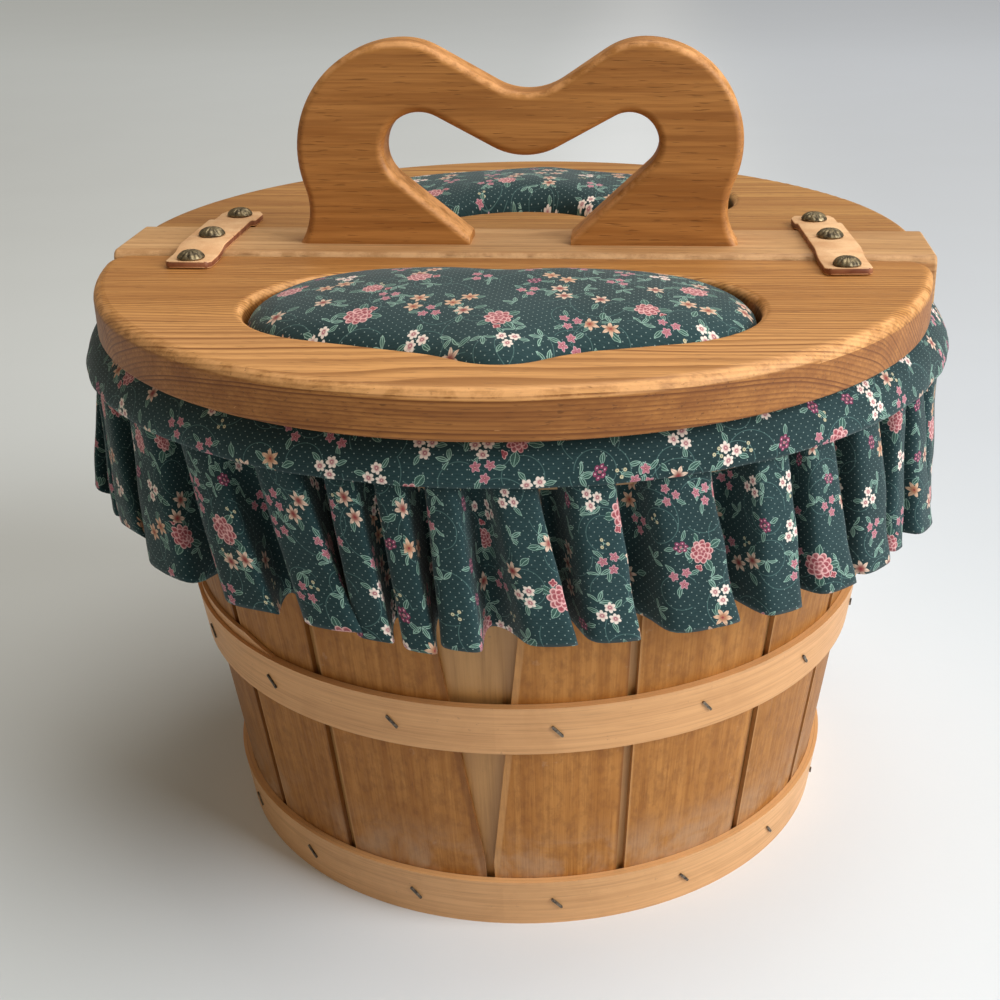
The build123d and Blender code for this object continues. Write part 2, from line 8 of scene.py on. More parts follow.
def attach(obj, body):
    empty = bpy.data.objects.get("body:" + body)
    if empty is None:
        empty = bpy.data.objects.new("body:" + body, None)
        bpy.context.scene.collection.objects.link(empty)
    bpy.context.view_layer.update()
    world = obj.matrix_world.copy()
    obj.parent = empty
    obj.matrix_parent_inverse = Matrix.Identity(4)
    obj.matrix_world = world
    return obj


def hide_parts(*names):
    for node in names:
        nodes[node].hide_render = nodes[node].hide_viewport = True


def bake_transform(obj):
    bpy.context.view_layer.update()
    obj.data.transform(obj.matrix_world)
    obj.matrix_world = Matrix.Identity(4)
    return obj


# Sewing basket of wooden slats, dressed over its CAD model. Metres, Z up, the front is -Y.
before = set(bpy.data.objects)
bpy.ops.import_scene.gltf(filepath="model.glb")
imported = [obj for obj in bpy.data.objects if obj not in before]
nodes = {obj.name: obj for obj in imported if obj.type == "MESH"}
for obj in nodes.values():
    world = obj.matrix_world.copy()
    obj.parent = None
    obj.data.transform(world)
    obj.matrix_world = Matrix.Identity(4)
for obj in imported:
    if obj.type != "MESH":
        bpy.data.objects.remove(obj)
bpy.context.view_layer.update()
print("frame loaded:", len(nodes), "nodes")

# Sizes that several pieces share, in metres
basket = {
    "footRadius": 0.1385, "mouthRadius": 0.171, "meanRadius": 0.155, "wallHeight": 0.242, "staveCount": 16,
    "wedgeAzimuth": -2.2, "gapShift": {-2: -0.9, -1: -4.1, 1: 0.1, 2: 1.6, 3: -1.9}, "wedgeSpread": 0.124,
    "wedgeStart": 0.018, "lidTop": 0.2625,
}
taper = (basket["mouthRadius"] - basket["footRadius"]) / basket["wallHeight"]


def wallRadius(height, offset=0.0):
    return basket["footRadius"] + taper * height + offset


def deselectAll():
    if bpy.context.object and bpy.context.object.mode != "OBJECT":
        bpy.ops.object.mode_set(mode="OBJECT")
    bpy.ops.object.select_all(action="DESELECT")


def pick(piece):
    deselectAll()
    piece.select_set(True)
    bpy.context.view_layer.objects.active = piece


def addPiece(name, data):
    piece = bpy.data.objects.new(name, data)
    bpy.context.scene.collection.objects.link(piece)
    return piece


# Camera, at the photograph's height and tilt
cameraFit = {
    "place": (0.06051, -0.6476, 0.42595), "pitch": 23.960, "yaw": -4.366, "roll": 0.702,
    "lens": 53.1, "sensor": 36.0, "shift": -0.05,
}
pitch, yaw, roll = (math.radians(cameraFit[name]) for name in ("pitch", "yaw", "roll"))
forward = Vector((math.sin(yaw) * math.cos(pitch), math.cos(yaw) * math.cos(pitch), -math.sin(pitch)))
level = Vector((math.cos(yaw), -math.sin(yaw), 0.0))
down = forward.cross(level)
across = level * math.cos(roll) + down * math.sin(roll)
downward = down * math.cos(roll) - level * math.sin(roll)
cameraData = bpy.data.cameras.new("camera")
cameraData.lens, cameraData.sensor_width = cameraFit["lens"], cameraFit["sensor"]
cameraData.shift_x = cameraFit["shift"]
camera = addPiece("camera", cameraData)
turn = Matrix((across, -downward, -forward)).transposed()
camera.matrix_world = Matrix.Translation(cameraFit["place"]) @ turn.to_4x4()
bpy.context.scene.camera = camera
bpy.context.scene.view_settings.view_transform = "Standard"

# Lights: a cool window from the right, a softer one overhead, a weak warm fill, and a dim warm room
lampFit = {
    "key": {"place": (1.9, -0.75, 1.30), "size": 1.5, "power": 62.0, "color": (0.94, 0.975, 1.0)},
    "over": {"place": (0.5, 0.5, 2.3), "size": 1.8, "power": 30.0, "color": (1.0, 0.985, 0.94)},
    "fill": {"place": (-1.7, -1.9, 1.0), "size": 2.0, "power": 1.5, "color": (1.0, 0.86, 0.68)},
}
roomFit = {"aim": (0.0, 0.0, 0.18), "color": (1.0, 0.88, 0.69, 1.0), "strength": 0.25}
for name, fit in lampFit.items():
    lamp = bpy.data.lights.new(name, "AREA")
    lamp.shape, lamp.size, lamp.energy, lamp.color = "SQUARE", fit["size"], fit["power"], fit["color"]
    lampObject = addPiece(name, lamp)
    lampObject.location = fit["place"]
    aim = Vector(roomFit["aim"]) - Vector(fit["place"])
    lampObject.rotation_euler = aim.to_track_quat("-Z", "Y").to_euler()
world = bpy.data.worlds.new("room")
bpy.context.scene.world = world
world.use_nodes = True
background = world.node_tree.nodes["Background"].inputs
background["Color"].default_value = roomFit["color"]
background["Strength"].default_value = roomFit["strength"]
print("camera and lights made")


# Node helpers: they add to the tree that was opened last, and give back signals
opened = {}


def plug(socket, value):
    if isinstance(value, signal):
        socket.id_data.links.new(value.socket, socket)
        return
    if isinstance(value, tuple) and len(value) == 3 and len(socket.default_value) == 4:
        value = (*value, 1.0)
    socket.default_value = value


def newNode(kind, plugs=(), **settings):
    # plugs are values for the first inputs in their order, or for inputs by name
    node = opened["tree"].nodes.new("ShaderNode" + kind)
    for label, setting in settings.items():
        setattr(node, label, setting)
    for socket, value in plugs.items() if isinstance(plugs, dict) else enumerate(plugs):
        plug(node.inputs[socket], value)
    return node


def calc(operation, *values):
    return signal(newNode("Math", values, operation=operation).outputs[0])


class signal:
    # An output socket that can be reckoned with; each sign makes one maths node
    def __init__(self, socket):
        self.socket = socket

    def __abs__(self):
        return calc("ABSOLUTE", self)


def giveSign(sign, operation):
    setattr(signal, f"__{sign}__", lambda self, other: calc(operation, self, other))
    setattr(signal, f"__r{sign}__", lambda self, other: calc(operation, other, self))


for sign, operation in {
    "add": "ADD", "sub": "SUBTRACT", "mul": "MULTIPLY", "truediv": "DIVIDE",
    "gt": "GREATER_THAN", "lt": "LESS_THAN",
}.items():
    giveSign(sign, operation)


def signals(sockets):
    return {socket.name: signal(socket) for socket in sockets}


def vector(operation, *values):
    return signal(newNode("VectorMath", values, operation=operation).outputs[0])


def hypotenuse(u, v):
    return calc("SQRT", u * u + v * v)


def fade(value, low, high, start=0.0, end=1.0):
    plugs = (value, low, high, start, end)
    return signal(newNode("MapRange", plugs, interpolation_type="SMOOTHSTEP").outputs[0])


def ebb(value, low, high):
    return fade(value, low, high, 1.0, 0.0)


def mix(factor, first, second, mode="MIX"):
    plugs = {0: factor, 6: first, 7: second}
    return signal(newNode("Mix", plugs, data_type="RGBA", blend_type=mode).outputs[2])


def layered(color, found, tones, *layers):
    # Every layer: the signal that places it, how that fades in or its share, and the layer's colour
    for name, amount, tone in layers:
        share = fade(found[name], *amount) if isinstance(amount, tuple) else found[name] * amount
        color = mix(share, color, tones.get(tone, tone))
    return color


def cloud(place, scale, detail=2.0, roughness=0.5, distortion=0.0):
    plugs = {"Vector": place, "Scale": scale, "Detail": detail, "Roughness": roughness}
    return signal(newNode("TexNoise", {**plugs, "Distortion": distortion}).outputs["Fac"])


def joined(x, y, z):
    return signal(newNode("CombineXYZ", (x, y, z)).outputs[0])


def parted(value):
    return [signal(socket) for socket in newNode("SeparateXYZ", (value,)).outputs]


def coordinate(name="Object"):
    return signal(newNode("TexCoord").outputs[name])


def startGroup(name, inputs, outputs):
    tree = bpy.data.node_groups.new(name, "ShaderNodeTree")
    kinds = {float: "NodeSocketFloat", tuple: "NodeSocketVector"}
    for label, value in inputs.items():
        socket = tree.interface.new_socket(label, in_out="INPUT", socket_type=kinds[type(value)])
        socket.default_value = value
    for label in outputs:
        kind = "NodeSocketColor" if label.endswith("Color") else "NodeSocketFloat"
        tree.interface.new_socket(label, in_out="OUTPUT", socket_type=kind)
    opened["tree"] = tree
    return signals(tree.nodes.new("NodeGroupInput").outputs), tree.nodes.new("NodeGroupOutput").inputs


def seeded(given):
    # The object's own place, moved along by the group's seed
    return vector("ADD", coordinate(), joined(given["seed"], 0.0, 0.0))


def useGroup(name, **values):
    return signals(newNode("Group", values, node_tree=bpy.data.node_groups[name]).outputs)


def bump(height, strength, distance):
    plugs = {"Height": height, "Strength": strength, "Distance": distance}
    return signal(newNode("Bump", plugs).outputs[0])


def newMaterial(name, roughness=0.5, metallic=0.0, specular=0.5):
    material = bpy.data.materials.new(name)
    material.use_nodes = True
    opened["tree"] = material.node_tree
    inputs = material.node_tree.nodes["Principled BSDF"].inputs
    inputs["Roughness"].default_value = roughness
    inputs["Metallic"].default_value = metallic
    inputs["Specular IOR Level"].default_value = specular
    return material, inputs


def dressed(material, shader, color, height, relief, rough=None):
    plug(shader["Base Color"], color)
    plug(shader["Normal"], bump(height, *relief))
    if rough is not None:
        plug(shader["Roughness"], rough)
    return material


# Growth rings of a board sawn along X: rings about a heart line below the board, fibres and pores
grainFit = {
    # Scales along the board and across it
    "slow": (5.0, 14.0), "fine": (22.0, 900.0), "short": (110.0, 1500.0), "broad": (7.0, 120.0),
    "swayAcross": 3.0, "swayUp": 2.0, "unevenScale": 120.0, "uneven": 1.8, "lateWood": (0.25, 0.86),
    "ringEnd": (0.9, 1.0), "yearStep": 0.37, "yearScale": 5.0, "yearDepth": (0.3, 0.7, 0.35, 1.0),
    "pore": (0.63, 0.74),
}


def buildBoardGrain():
    given, out = startGroup(
        "boardGrain",
        {"heartY": 0.0, "heartZ": -0.06, "spacing": 0.003, "wander": 0.004, "seed": 0.0},
        ("rings", "fibre", "pores", "figure"),
    )
    fit = grainFit
    x, y, z = parted(coordinate())
    shifted = x + given["seed"]

    def stretched(name):
        along, cross = fit[name]
        return joined(shifted * along, y * cross, z * cross)

    sway = (cloud(stretched("slow"), 1.0) - 0.5) * given["wander"]
    dy = y - given["heartY"] + sway * fit["swayAcross"]
    dz = z - given["heartZ"] + sway * fit["swayUp"]
    radius = hypotenuse(dy, dz)
    uneven = cloud(joined(radius, given["seed"], 0.0), fit["unevenScale"])
    turns = radius / given["spacing"] + uneven * fit["uneven"]
    saw = calc("FRACT", turns)
    year = joined(calc("FLOOR", turns) * fit["yearStep"], given["seed"], 0.0)
    depth = fade(cloud(year, fit["yearScale"], detail=0.0), *fit["yearDepth"])
    plug(out["rings"], fade(saw, *fit["lateWood"]) * ebb(saw, *fit["ringEnd"]) * depth)
    plug(out["fibre"], cloud(stretched("fine"), 1.0, detail=3.0, roughness=0.6))
    plug(out["pores"], fade(cloud(stretched("short"), 1.0, detail=1.0), *fit["pore"]))
    plug(out["figure"], cloud(stretched("broad"), 1.0, detail=4.0, roughness=0.62))


# Thin veneer on the round wall: fibres up the staves or along the hoops, by direction and height
veneerFit = {
    # Shares of the scales round the wall and up it, and a shift
    "fibre": (1.0, 1.0, 0.0), "streak": (0.22, 0.3, 7.0), "fleck": (0.5, 3.2, 13.0),
    "fleckEdge": (0.66, 0.76), "blotchScale": 34.0,
}


def buildVeneerGrain():
    given, out = startGroup(
        "veneerGrain",
        {"roundScale": 900.0, "uprightScale": 24.0, "seed": 0.0},
        ("fibre", "streak", "fleck", "figure"),
    )
    x, y, z = parted(coordinate())
    dx, dy, _ = parted(vector("NORMALIZE", joined(x, y, 0.0)))

    def stretched(name):
        roundShare, uprightShare, shift = veneerFit[name]
        wide = given["roundScale"] * (roundShare * basket["meanRadius"])
        tall = given["uprightScale"] * uprightShare
        return joined(dx * wide + (given["seed"] + shift), dy * wide, z * tall)

    plug(out["fibre"], cloud(stretched("fibre"), 1.0, detail=3.0, roughness=0.62))
    plug(out["streak"], cloud(stretched("streak"), 1.0, detail=3.0, roughness=0.6, distortion=0.4))
    plug(out["fleck"], fade(cloud(stretched("fleck"), 1.0, detail=1.0), *veneerFit["fleckEdge"]))
    blotch = cloud(seeded(given), veneerFit["blotchScale"], detail=4.0, roughness=0.62, distortion=0.6)
    plug(out["figure"], blotch)


# How far a stave's point is from its two long edges, for a lighter strip along one edge and a painted shadow
# line along the other
def buildStaveEdges():
    given, out = startGroup(
        "staveEdges",
        {"middle": 0.0, "halfWidth": 0.029, "leftWedge": 0.0, "rightWedge": 0.0},
        ("fromLeft", "fromRight"),
    )
    x, y, z = parted(coordinate())
    angle = calc("RADIANS", given["middle"])
    cosine, sine = calc("COSINE", angle), calc("SINE", angle)
    side = x * cosine + y * sine
    front = x * sine - y * cosine
    radius = hypotenuse(x, y)
    arc = calc("ARCTAN2", side, front) * radius
    half = radius / basket["meanRadius"] * given["halfWidth"]
    rise = calc("MAXIMUM", z - basket["wedgeStart"], 0.0)
    plug(out["fromLeft"], arc + half - rise * given["leftWedge"])
    plug(out["fromRight"], half - arc - rise * given["rightWedge"])


# Wear on rounded edges: patchy, between the flat top and the upright side
wearFit = {"risen": (0.12, 0.5), "flat": (0.8, 0.99), "patchy": (0.38, 0.62), "side": (0.3, 0.05)}


def buildEdgeWear():
    given, out = startGroup("edgeWear", {"patch": 60.0, "seed": 0.0}, ("wear", "side"))
    _, _, up = parted(coordinate("Normal"))
    rounded = fade(up, *wearFit["risen"]) * ebb(up, *wearFit["flat"])
    patchy = cloud(seeded(given), given["patch"], detail=5.0, roughness=0.68)
    plug(out["wear"], rounded * fade(patchy, *wearFit["patchy"]))
    plug(out["side"], fade(up, *wearFit["side"]))


# Small scratches and rubbed specks
scuffFit = {
    "speck": (0.66, 0.74), "slant": (14.0, 420.0, 420.0), "scratch": (0.68, 0.73),
    "whereScale": 22.0, "where": (0.55, 0.7),
}


def buildScuffs():
    given, out = startGroup("scuffs", {"size": 160.0, "seed": 0.0}, ("specks", "scratches"))
    moved = seeded(given)
    plug(out["specks"], fade(cloud(moved, given["size"], detail=3.0, roughness=0.7), *scuffFit["speck"]))
    slanted = cloud(vector("MULTIPLY", moved, scuffFit["slant"]), 1.0, distortion=1.2)
    where = fade(cloud(moved, scuffFit["whereScale"]), *scuffFit["where"])
    plug(out["scratches"], fade(slanted, *scuffFit["scratch"]) * where)


for build in (buildBoardGrain, buildVeneerGrain, buildStaveEdges, buildEdgeWear, buildScuffs):
    build()


# The print: small roses, star flowers, blossoms, leaves and thin vines, laid out by cells on the cloth
clothColors = {
    "ground": (0.0085, 0.034, 0.037), "groundLight": (0.0145, 0.048, 0.053), "dot": (0.36, 0.46, 0.43),
    "vine": (0.085, 0.17, 0.16), "leafDark": (0.040, 0.105, 0.085), "leafLight": (0.33, 0.50, 0.42),
    "starDeep": (0.30, 0.085, 0.065), "starPale": (0.77, 0.60, 0.47), "starWarm": (0.60, 0.30, 0.12),
    "roseDeep": (0.33, 0.065, 0.082), "rosePale": (0.80, 0.48, 0.46), "white": (0.84, 0.73, 0.65),
    "whiteShade": (0.55, 0.30, 0.27), "centre": (0.28, 0.035, 0.045), "pink": (0.45, 0.16, 0.20),
    "pinkPale": (0.80, 0.50, 0.53), "berry": (0.24, 0.040, 0.10), "cream": (0.62, 0.55, 0.36),
}
printFit = {
    "groundScale": 14.0, "ground": (0.3, 0.7),
    "dotSpacing": 0.0033, "dotRadius": 0.00019, "dotSoftness": 0.45, "dotStrength": 0.9,
    "dotRows": (50.0, 50.5),
    # Each kind of vine: shift over the cloth, spacing, and radius of its arc
    "vines": ((0.0, 0.031, 0.0105), (0.51, 0.0248, 0.0072)), "vineSlip": 0.3, "vineEdge": (0.00008, 0.00019),
    "vineArc": 1.6, "vineStrength": 0.85,
    "looseSpacing": 0.0118, "looseShift": (0.37, 0.21, 0.0), "looseTilt": 0.5,
    "sprigSpacing": 0.0176, "sprigSize": 0.78, "wobbleScale": 330.0, "wobble": 0.0009,
    "wobbleShift": (0.9, 0.4, 0.0),
    "leafRim": (0.00014, 0.00034), "leafRib": (0.00006, 0.00018), "notches": 24.0, "deepNotch": 0.00011,
    "notch": 0.00003, "stem": (0.00006, 0.00014), "pinkStem": (0.00005, 0.00014), "pinkStemStrength": 0.8,
    "grapeWidth": 0.72, "pinkRim": (0.00005, 0.00026), "whiteShade": (-0.9, 0.1), "singleStars": 0.3,
    "starVein": (0.00005, 0.00022, 0.55, 0.0), "starBase": (-0.7, 0.35), "starWarm": (0.6, 0.9, 0.0, 0.4),
    "roseSize": 0.84, "roseGrowth": 0.34, "roseRim": (0.0001, 0.0009), "roseWobble": 1.3,
    "roseTone": (-0.2, 1.3),
    "budPlace": (0.0083, 0.0022), "budRim": (0.0001, 0.0005),
}
# Petals and leaves: how many, turn of the first, where they begin, length and width
petals = {
    "looseLeaf": (5.0, 0.0, 0.0026, 0.0024, 0.0009), "roseLeaf": (4.0, 0.4, 0.0082, 0.0037, 0.0020),
    "starLeaf": (3.0, 2.0, 0.0086, 0.0034, 0.0015), "whiteLeaf": (3.0, 0.0, 0.0072, 0.0028, 0.0012),
    "pinkLeaf": (3.0, 1.0, 0.0072, 0.0030, 0.0012), "bunchLeaf": (3.0, 0.8, 0.0060, 0.0029, 0.0012),
    "pinkPetal": (5.0, 0.4, 0.00125, 0.00135, 0.00085), "whitePetal": (6.0, 0.2, 0.00165, 0.00115, 0.00088),
    "starPetal": (6.0, 0.7, 0.00245, 0.00245, 0.00105), "roseOuter": (9.0, 0.2, 0.0045, 0.0018, 0.00165),
    "roseMiddle": (6.0, 0.9, 0.0029, 0.0017, 0.00165), "roseInner": (5.0, 0.3, 0.0013, 0.0014, 0.0012),
    "roseBud": (4.0, 0.0, 0.0009, 0.0012, 0.0010),
}
# Flowers to a sprig: how many, turn of the first, and distance from the sprig's middle
clusters = {
    "berries": (3.0, 0.0, 0.0016), "grapes": (6.0, 0.3, 0.0020), "pinks": (3.0, 0.5, 0.0037),
    "whites": (3.0, 1.6, 0.0034), "stars": (2.0, 0.0, 0.0050),
}
# Each kind's share of the cells' random numbers
kinds = {
    "rose": (-1.0, 0.13), "star": (0.13, 0.40), "white": (0.40, 0.60), "pink": (0.60, 0.84),
    "bunch": (0.84, 2.0), "looseLeaf": (-1.0, 0.42), "looseBerry": (0.42, 0.52),
}
fullTurn = 2 * math.pi


def fromNearestAxis(given):
    # Along and off the nearest of count axes that go out from the middle
    radius = hypotenuse(given["u"], given["v"])
    pitch = fullTurn / given["count"]
    turns = (calc("ARCTAN2", given["v"], given["u"]) + (given["phase"] + 5 * fullTurn)) / pitch
    angle = (calc("FRACT", turns) - 0.5) * pitch
    return radius * calc("COSINE", angle), radius * calc("SINE", angle)


def buildPetalRing():
    # Petals round a middle: how far inside a round or a pointed one, and where along and off its axis
    given, out = startGroup(
        "petalRing",
        {"u": 0.0, "v": 0.0, "count": 5.0, "phase": 0.0, "reach": 0.002, "long": 0.002, "wide": 0.001},
        ("round", "pointed", "along", "off"),
    )
    reached, aside = fromNearestAxis(given)
    off = abs(aside)
    along = (reached - given["reach"]) / given["long"]
    across = off / given["wide"]
    square = along * along
    oval = calc("SQRT", square + across * across)
    plug(out["round"], (1.0 - oval) * given["wide"])
    plug(out["pointed"], (1.0 - square - across) * given["wide"])
    plug(out["along"], along)
    plug(out["off"], off)


def buildCluster():
    # The same flower repeated round a middle: coordinates about the nearest one
    inputs = {"u": 0.0, "v": 0.0, "count": 3.0, "phase": 0.0, "distance": 0.004}
    given, out = startGroup("cluster", inputs, ("u", "v"))
    along, aside = fromNearestAxis(given)
    plug(out["u"], along - given["distance"])
    plug(out["v"], aside)


def buildMotifCell():
    # One cell's own coordinates: place about its middle, turned at random, and two random numbers
    inputs = {"cloth": (0.0, 0.0, 0.0), "spacing": 0.02, "randomness": 0.7}
    given, out = startGroup("motifCell", inputs, ("u", "v", "kind", "tint"))
    plugs = {"Vector": given["cloth"], "Scale": 1.0 / given["spacing"], "Randomness": given["randomness"]}
    cell = signals(newNode("TexVoronoi", plugs, voronoi_dimensions="2D").outputs)
    x, y, _ = parted(vector("SUBTRACT", given["cloth"], cell["Position"]))
    kind, spin, tint = parted(cell["Color"])
    angle = spin * fullTurn
    cosine, sine = calc("COSINE", angle), calc("SINE", angle)
    plug(out["u"], x * cosine - y * sine)
    plug(out["v"], x * sine + y * cosine)
    plug(out["kind"], kind)
    plug(out["tint"], tint)


def ring(u, v, name):
    count, phase, reach, long, wide = petals[name]
    return useGroup("petalRing", u=u, v=v, count=count, phase=phase, reach=reach, long=long, wide=wide)


def cluster(u, v, name):
    count, phase, distance = clusters[name]
    about = useGroup("cluster", u=u, v=v, count=count, phase=phase, distance=distance)
    return about["u"], about["v"]


def sharp(value, edge=0.0001):
    return fade(value, -edge, edge)


def disc(u, v, radius, edge=0.00012):
    return ebb(hypotenuse(u, v), radius - edge, radius + edge)


def spotted(color, u, v, mask, *spots):
    # Round spots, each with its radius and colour, one over the other
    for radius, tone in spots:
        color = mix(disc(u, v, radius) * mask, color, clothColors[tone])
    return color


def isKind(value, name):
    low, high = kinds[name]
    return (value > low) * (value < high)


def leafed(color, shape, off, mask):
    # A leaf: dark inside, with a pale outline and midrib
    line = calc("MAXIMUM", ebb(shape, *printFit["leafRim"]), ebb(off, *printFit["leafRib"]))
    tone = mix(line, clothColors["leafDark"], clothColors["leafLight"])
    return mix(sharp(shape) * mask, color, tone)


def buildPrint():
    given, out = startGroup("floralPrint", {"cloth": (0.0, 0.0, 0.0)}, ("printColor",))
    c = clothColors
    fit = printFit
    cloth = given["cloth"]
    ground = cloud(cloth, fit["groundScale"], detail=3.0)
    color = mix(fade(ground, *fit["ground"]), c["ground"], c["groundLight"])
    # Tiny dots in staggered rows
    u, v, _ = parted(cloth)
    size = fit["dotRadius"] / fit["dotSpacing"]
    for shift in fit["dotRows"]:
        du, dv = (calc("FRACT", w / fit["dotSpacing"] + shift) - 0.5 for w in (u, v))
        color = mix(disc(du, dv, size, fit["dotSoftness"] * size) * fit["dotStrength"], color, c["dot"])
    # Thin vines: arcs of circles, each in a wide cell of its own
    for shift, spacing, bend in fit["vines"]:
        moved = vector("ADD", cloth, (shift, fit["vineSlip"] * shift, 0.0))
        cell = useGroup("motifCell", cloth=moved, spacing=spacing, randomness=0.6)
        line = ebb(abs(hypotenuse(cell["u"], cell["v"]) - bend), *fit["vineEdge"])
        arc = calc("ARCTAN2", cell["v"], cell["u"]) < fit["vineArc"]
        color = mix(line * arc * fit["vineStrength"], color, c["vine"])

    # Loose leaves in threes and cream berries, in small cells
    moved = vector("ADD", cloth, fit["looseShift"])
    loose = useGroup("motifCell", cloth=moved, spacing=fit["looseSpacing"], randomness=0.85)
    leaf = ring(loose["u"], loose["v"], "looseLeaf")
    half = loose["u"] + loose["v"] * fit["looseTilt"] > 0.0
    color = leafed(color, leaf["pointed"], leaf["off"], half * isKind(loose["kind"], "looseLeaf"))
    u, v = cluster(loose["u"], loose["v"], "berries")
    isBerry = isKind(loose["kind"], "looseBerry")
    stem = ebb(abs(v), *fit["stem"]) * (u < 0.0)
    color = mix(stem * isBerry, color, c["leafLight"])
    color = spotted(color, u, v, isBerry, (0.00065, "cream"), (0.0002, "leafDark"))

    # One sprig to each larger cell, of five kinds
    cell = useGroup("motifCell", cloth=cloth, spacing=fit["sprigSpacing"], randomness=0.66)
    wobble = cloud(cloth, fit["wobbleScale"], detail=1.0) - 0.5
    wobbleToo = cloud(vector("ADD", cloth, fit["wobbleShift"]), fit["wobbleScale"], detail=1.0) - 0.5
    u = (cell["u"] + wobble * fit["wobble"]) * (1 / fit["sprigSize"])
    v = (cell["v"] + wobbleToo * fit["wobble"]) * (1 / fit["sprigSize"])
    tint = cell["tint"]
    sprigs = ("rose", "star", "white", "pink", "bunch")
    isRose, isStar, isWhite, isPink, isBunch = (isKind(cell["kind"], name) for name in sprigs)
    # Leaves of the sprigs, farther out than the flowers
    for name, mask in zip(sprigs, (isRose, isStar, isWhite, isPink, isBunch)):
        leaf = ring(u, v, name + "Leaf")
        notchDepth = fit["deepNotch" if name == "rose" else "notch"]
        notch = calc("SINE", leaf["along"] * fit["notches"]) * notchDepth
        color = leafed(color, leaf["pointed"] + notch, leaf["off"], mask)
    # A bunch of dark pink berries with light dots
    gu, gv = cluster(u * fit["grapeWidth"], v, "grapes")
    color = spotted(color, gu, gv, isBunch, (0.00095, "berry"), (0.00030, "pinkPale"))
    color = spotted(color, u, v, isBunch, (0.0008, "pink"))
    # Three pointed pink blossoms on short stems
    pu, pv = cluster(u, v, "pinks")
    stem = ebb(abs(pv), *fit["pinkStem"]) * (pu < 0.0)
    petal = ring(pu, pv, "pinkPetal")
    shape = petal["round"] * 0.5 + petal["pointed"] * 0.5
    tone = mix(ebb(shape, *fit["pinkRim"]), c["pink"], c["pinkPale"])
    color = mix(stem * isPink * fit["pinkStemStrength"], color, c["vine"])
    color = mix(sharp(shape) * isPink, color, tone)
    color = spotted(color, pu, pv, isPink, (0.0005, "centre"), (0.0002, "white"))
    # Three round white blossoms
    wu, wv = cluster(u, v, "whites")
    petal = ring(wu, wv, "whitePetal")
    tone = mix(fade(petal["along"], *fit["whiteShade"]), c["whiteShade"], c["white"])
    color = mix(sharp(petal["round"]) * isWhite, color, tone)
    color = spotted(color, wu, wv, isWhite, (0.00085, "pink"), (0.00035, "starPale"))
    # Star flowers, mostly in pairs
    pu, pv = cluster(u, v, "stars")
    single = tint < fit["singleStars"]
    su, sv = (paired * (1.0 - single) + alone * single for paired, alone in ((pu, u), (pv, v)))
    petal = ring(su, sv, "starPetal")
    dark = calc("MAXIMUM", ebb(petal["along"], *fit["starBase"]), fade(petal["off"], *fit["starVein"]))
    tone = mix(fade(tint, *fit["starWarm"]), mix(dark, c["starPale"], c["starDeep"]), c["starWarm"])
    color = spotted(mix(sharp(petal["pointed"]) * isStar, color, tone), su, sv, isStar, (0.0006, "centre"))
    # A rose: three rings of petals, each paler at its rim, and a bud beside it
    size = fit["roseSize"] + tint * fit["roseGrowth"]
    ru, rv = u / size, v / size
    color = spotted(color, ru, rv, isRose, (0.0046, "roseDeep"))
    for name in ("roseOuter", "roseMiddle", "roseInner"):
        inside = ring(ru, rv, name)["round"]
        rim = ebb(inside, *fit["roseRim"]) + wobble * fit["roseWobble"]
        tone = mix(fade(rim, *fit["roseTone"]), c["roseDeep"], c["rosePale"])
        color = mix(sharp(inside) * isRose, color, tone)
    budU, budV = fit["budPlace"]
    inside = ring(u - budU, v + budV, "roseBud")["round"]
    tone = mix(ebb(inside, *fit["budRim"]), c["roseDeep"], c["rosePale"])
    plug(out["printColor"], mix(sharp(inside) * isRose, color, tone))


for build in (buildPetalRing, buildCluster, buildMotifCell, buildPrint):
    build()


def scaled(color, share, more=0.0):
    return tuple(min(1.0, share * c + more) for c in color)


# Printed cotton that reads the piece's own UV map, in metres
clothFit = {
    "specular": 0.25, "sheen": 0.12, "sheenRoughness": 0.5, "threadSpacing": 0.00042, "weave": 0.25,
    "slubScale": (260.0, 2600.0, 1.0), "slub": (0.3, 0.75, 0.0, 0.3), "slubColor": (0.06, 0.08, 0.08),
    "bump": (0.35, 0.00012), "roughness": (0.2, 0.8, 0.72, 0.88),
}


def floralCloth(name):
    fit = clothFit
    material, shader = newMaterial(name, roughness=0.8, specular=fit["specular"])
    shader["Sheen Weight"].default_value = fit["sheen"]
    shader["Sheen Roughness"].default_value = fit["sheenRoughness"]
    cloth = coordinate("UV")
    color = useGroup("floralPrint", cloth=cloth)["printColor"]
    u, v, _ = parted(cloth)
    thread = fullTurn / fit["threadSpacing"]
    weave = calc("SINE", u * thread) + calc("SINE", v * thread)
    slub = cloud(vector("MULTIPLY", cloth, fit["slubScale"]), 1.0)
    color = mix(fade(slub, *fit["slub"]), color, fit["slubColor"], "SOFT_LIGHT")
    height = weave * fit["weave"] + slub
    return dressed(material, shader, color, height, fit["bump"], fade(slub, *fit["roughness"]))


# Oiled board: growth rings, fibres, pores, darker upright sides, pale rubbed edges, dents and small scratches
boardFit = {
    "specular": 0.32, "patch": 90.0, "scuffs": 330.0, "figure": (0.34, 0.64), "rub": (-0.09, -0.15),
    "sideColor": (0.60, 0.45, 0.30), "litShare": 1.35, "litMore": 0.07, "poreShade": 0.4, "dentShade": 0.5,
    "fibre": (0.35, 0.75, 0.0, 0.42), "fibreRoughness": 0.16, "wearRoughness": 0.15, "fibreRise": 0.6,
    "ringDrop": 0.35, "dentDrop": 1.5, "bump": (0.4, 0.00025),
}


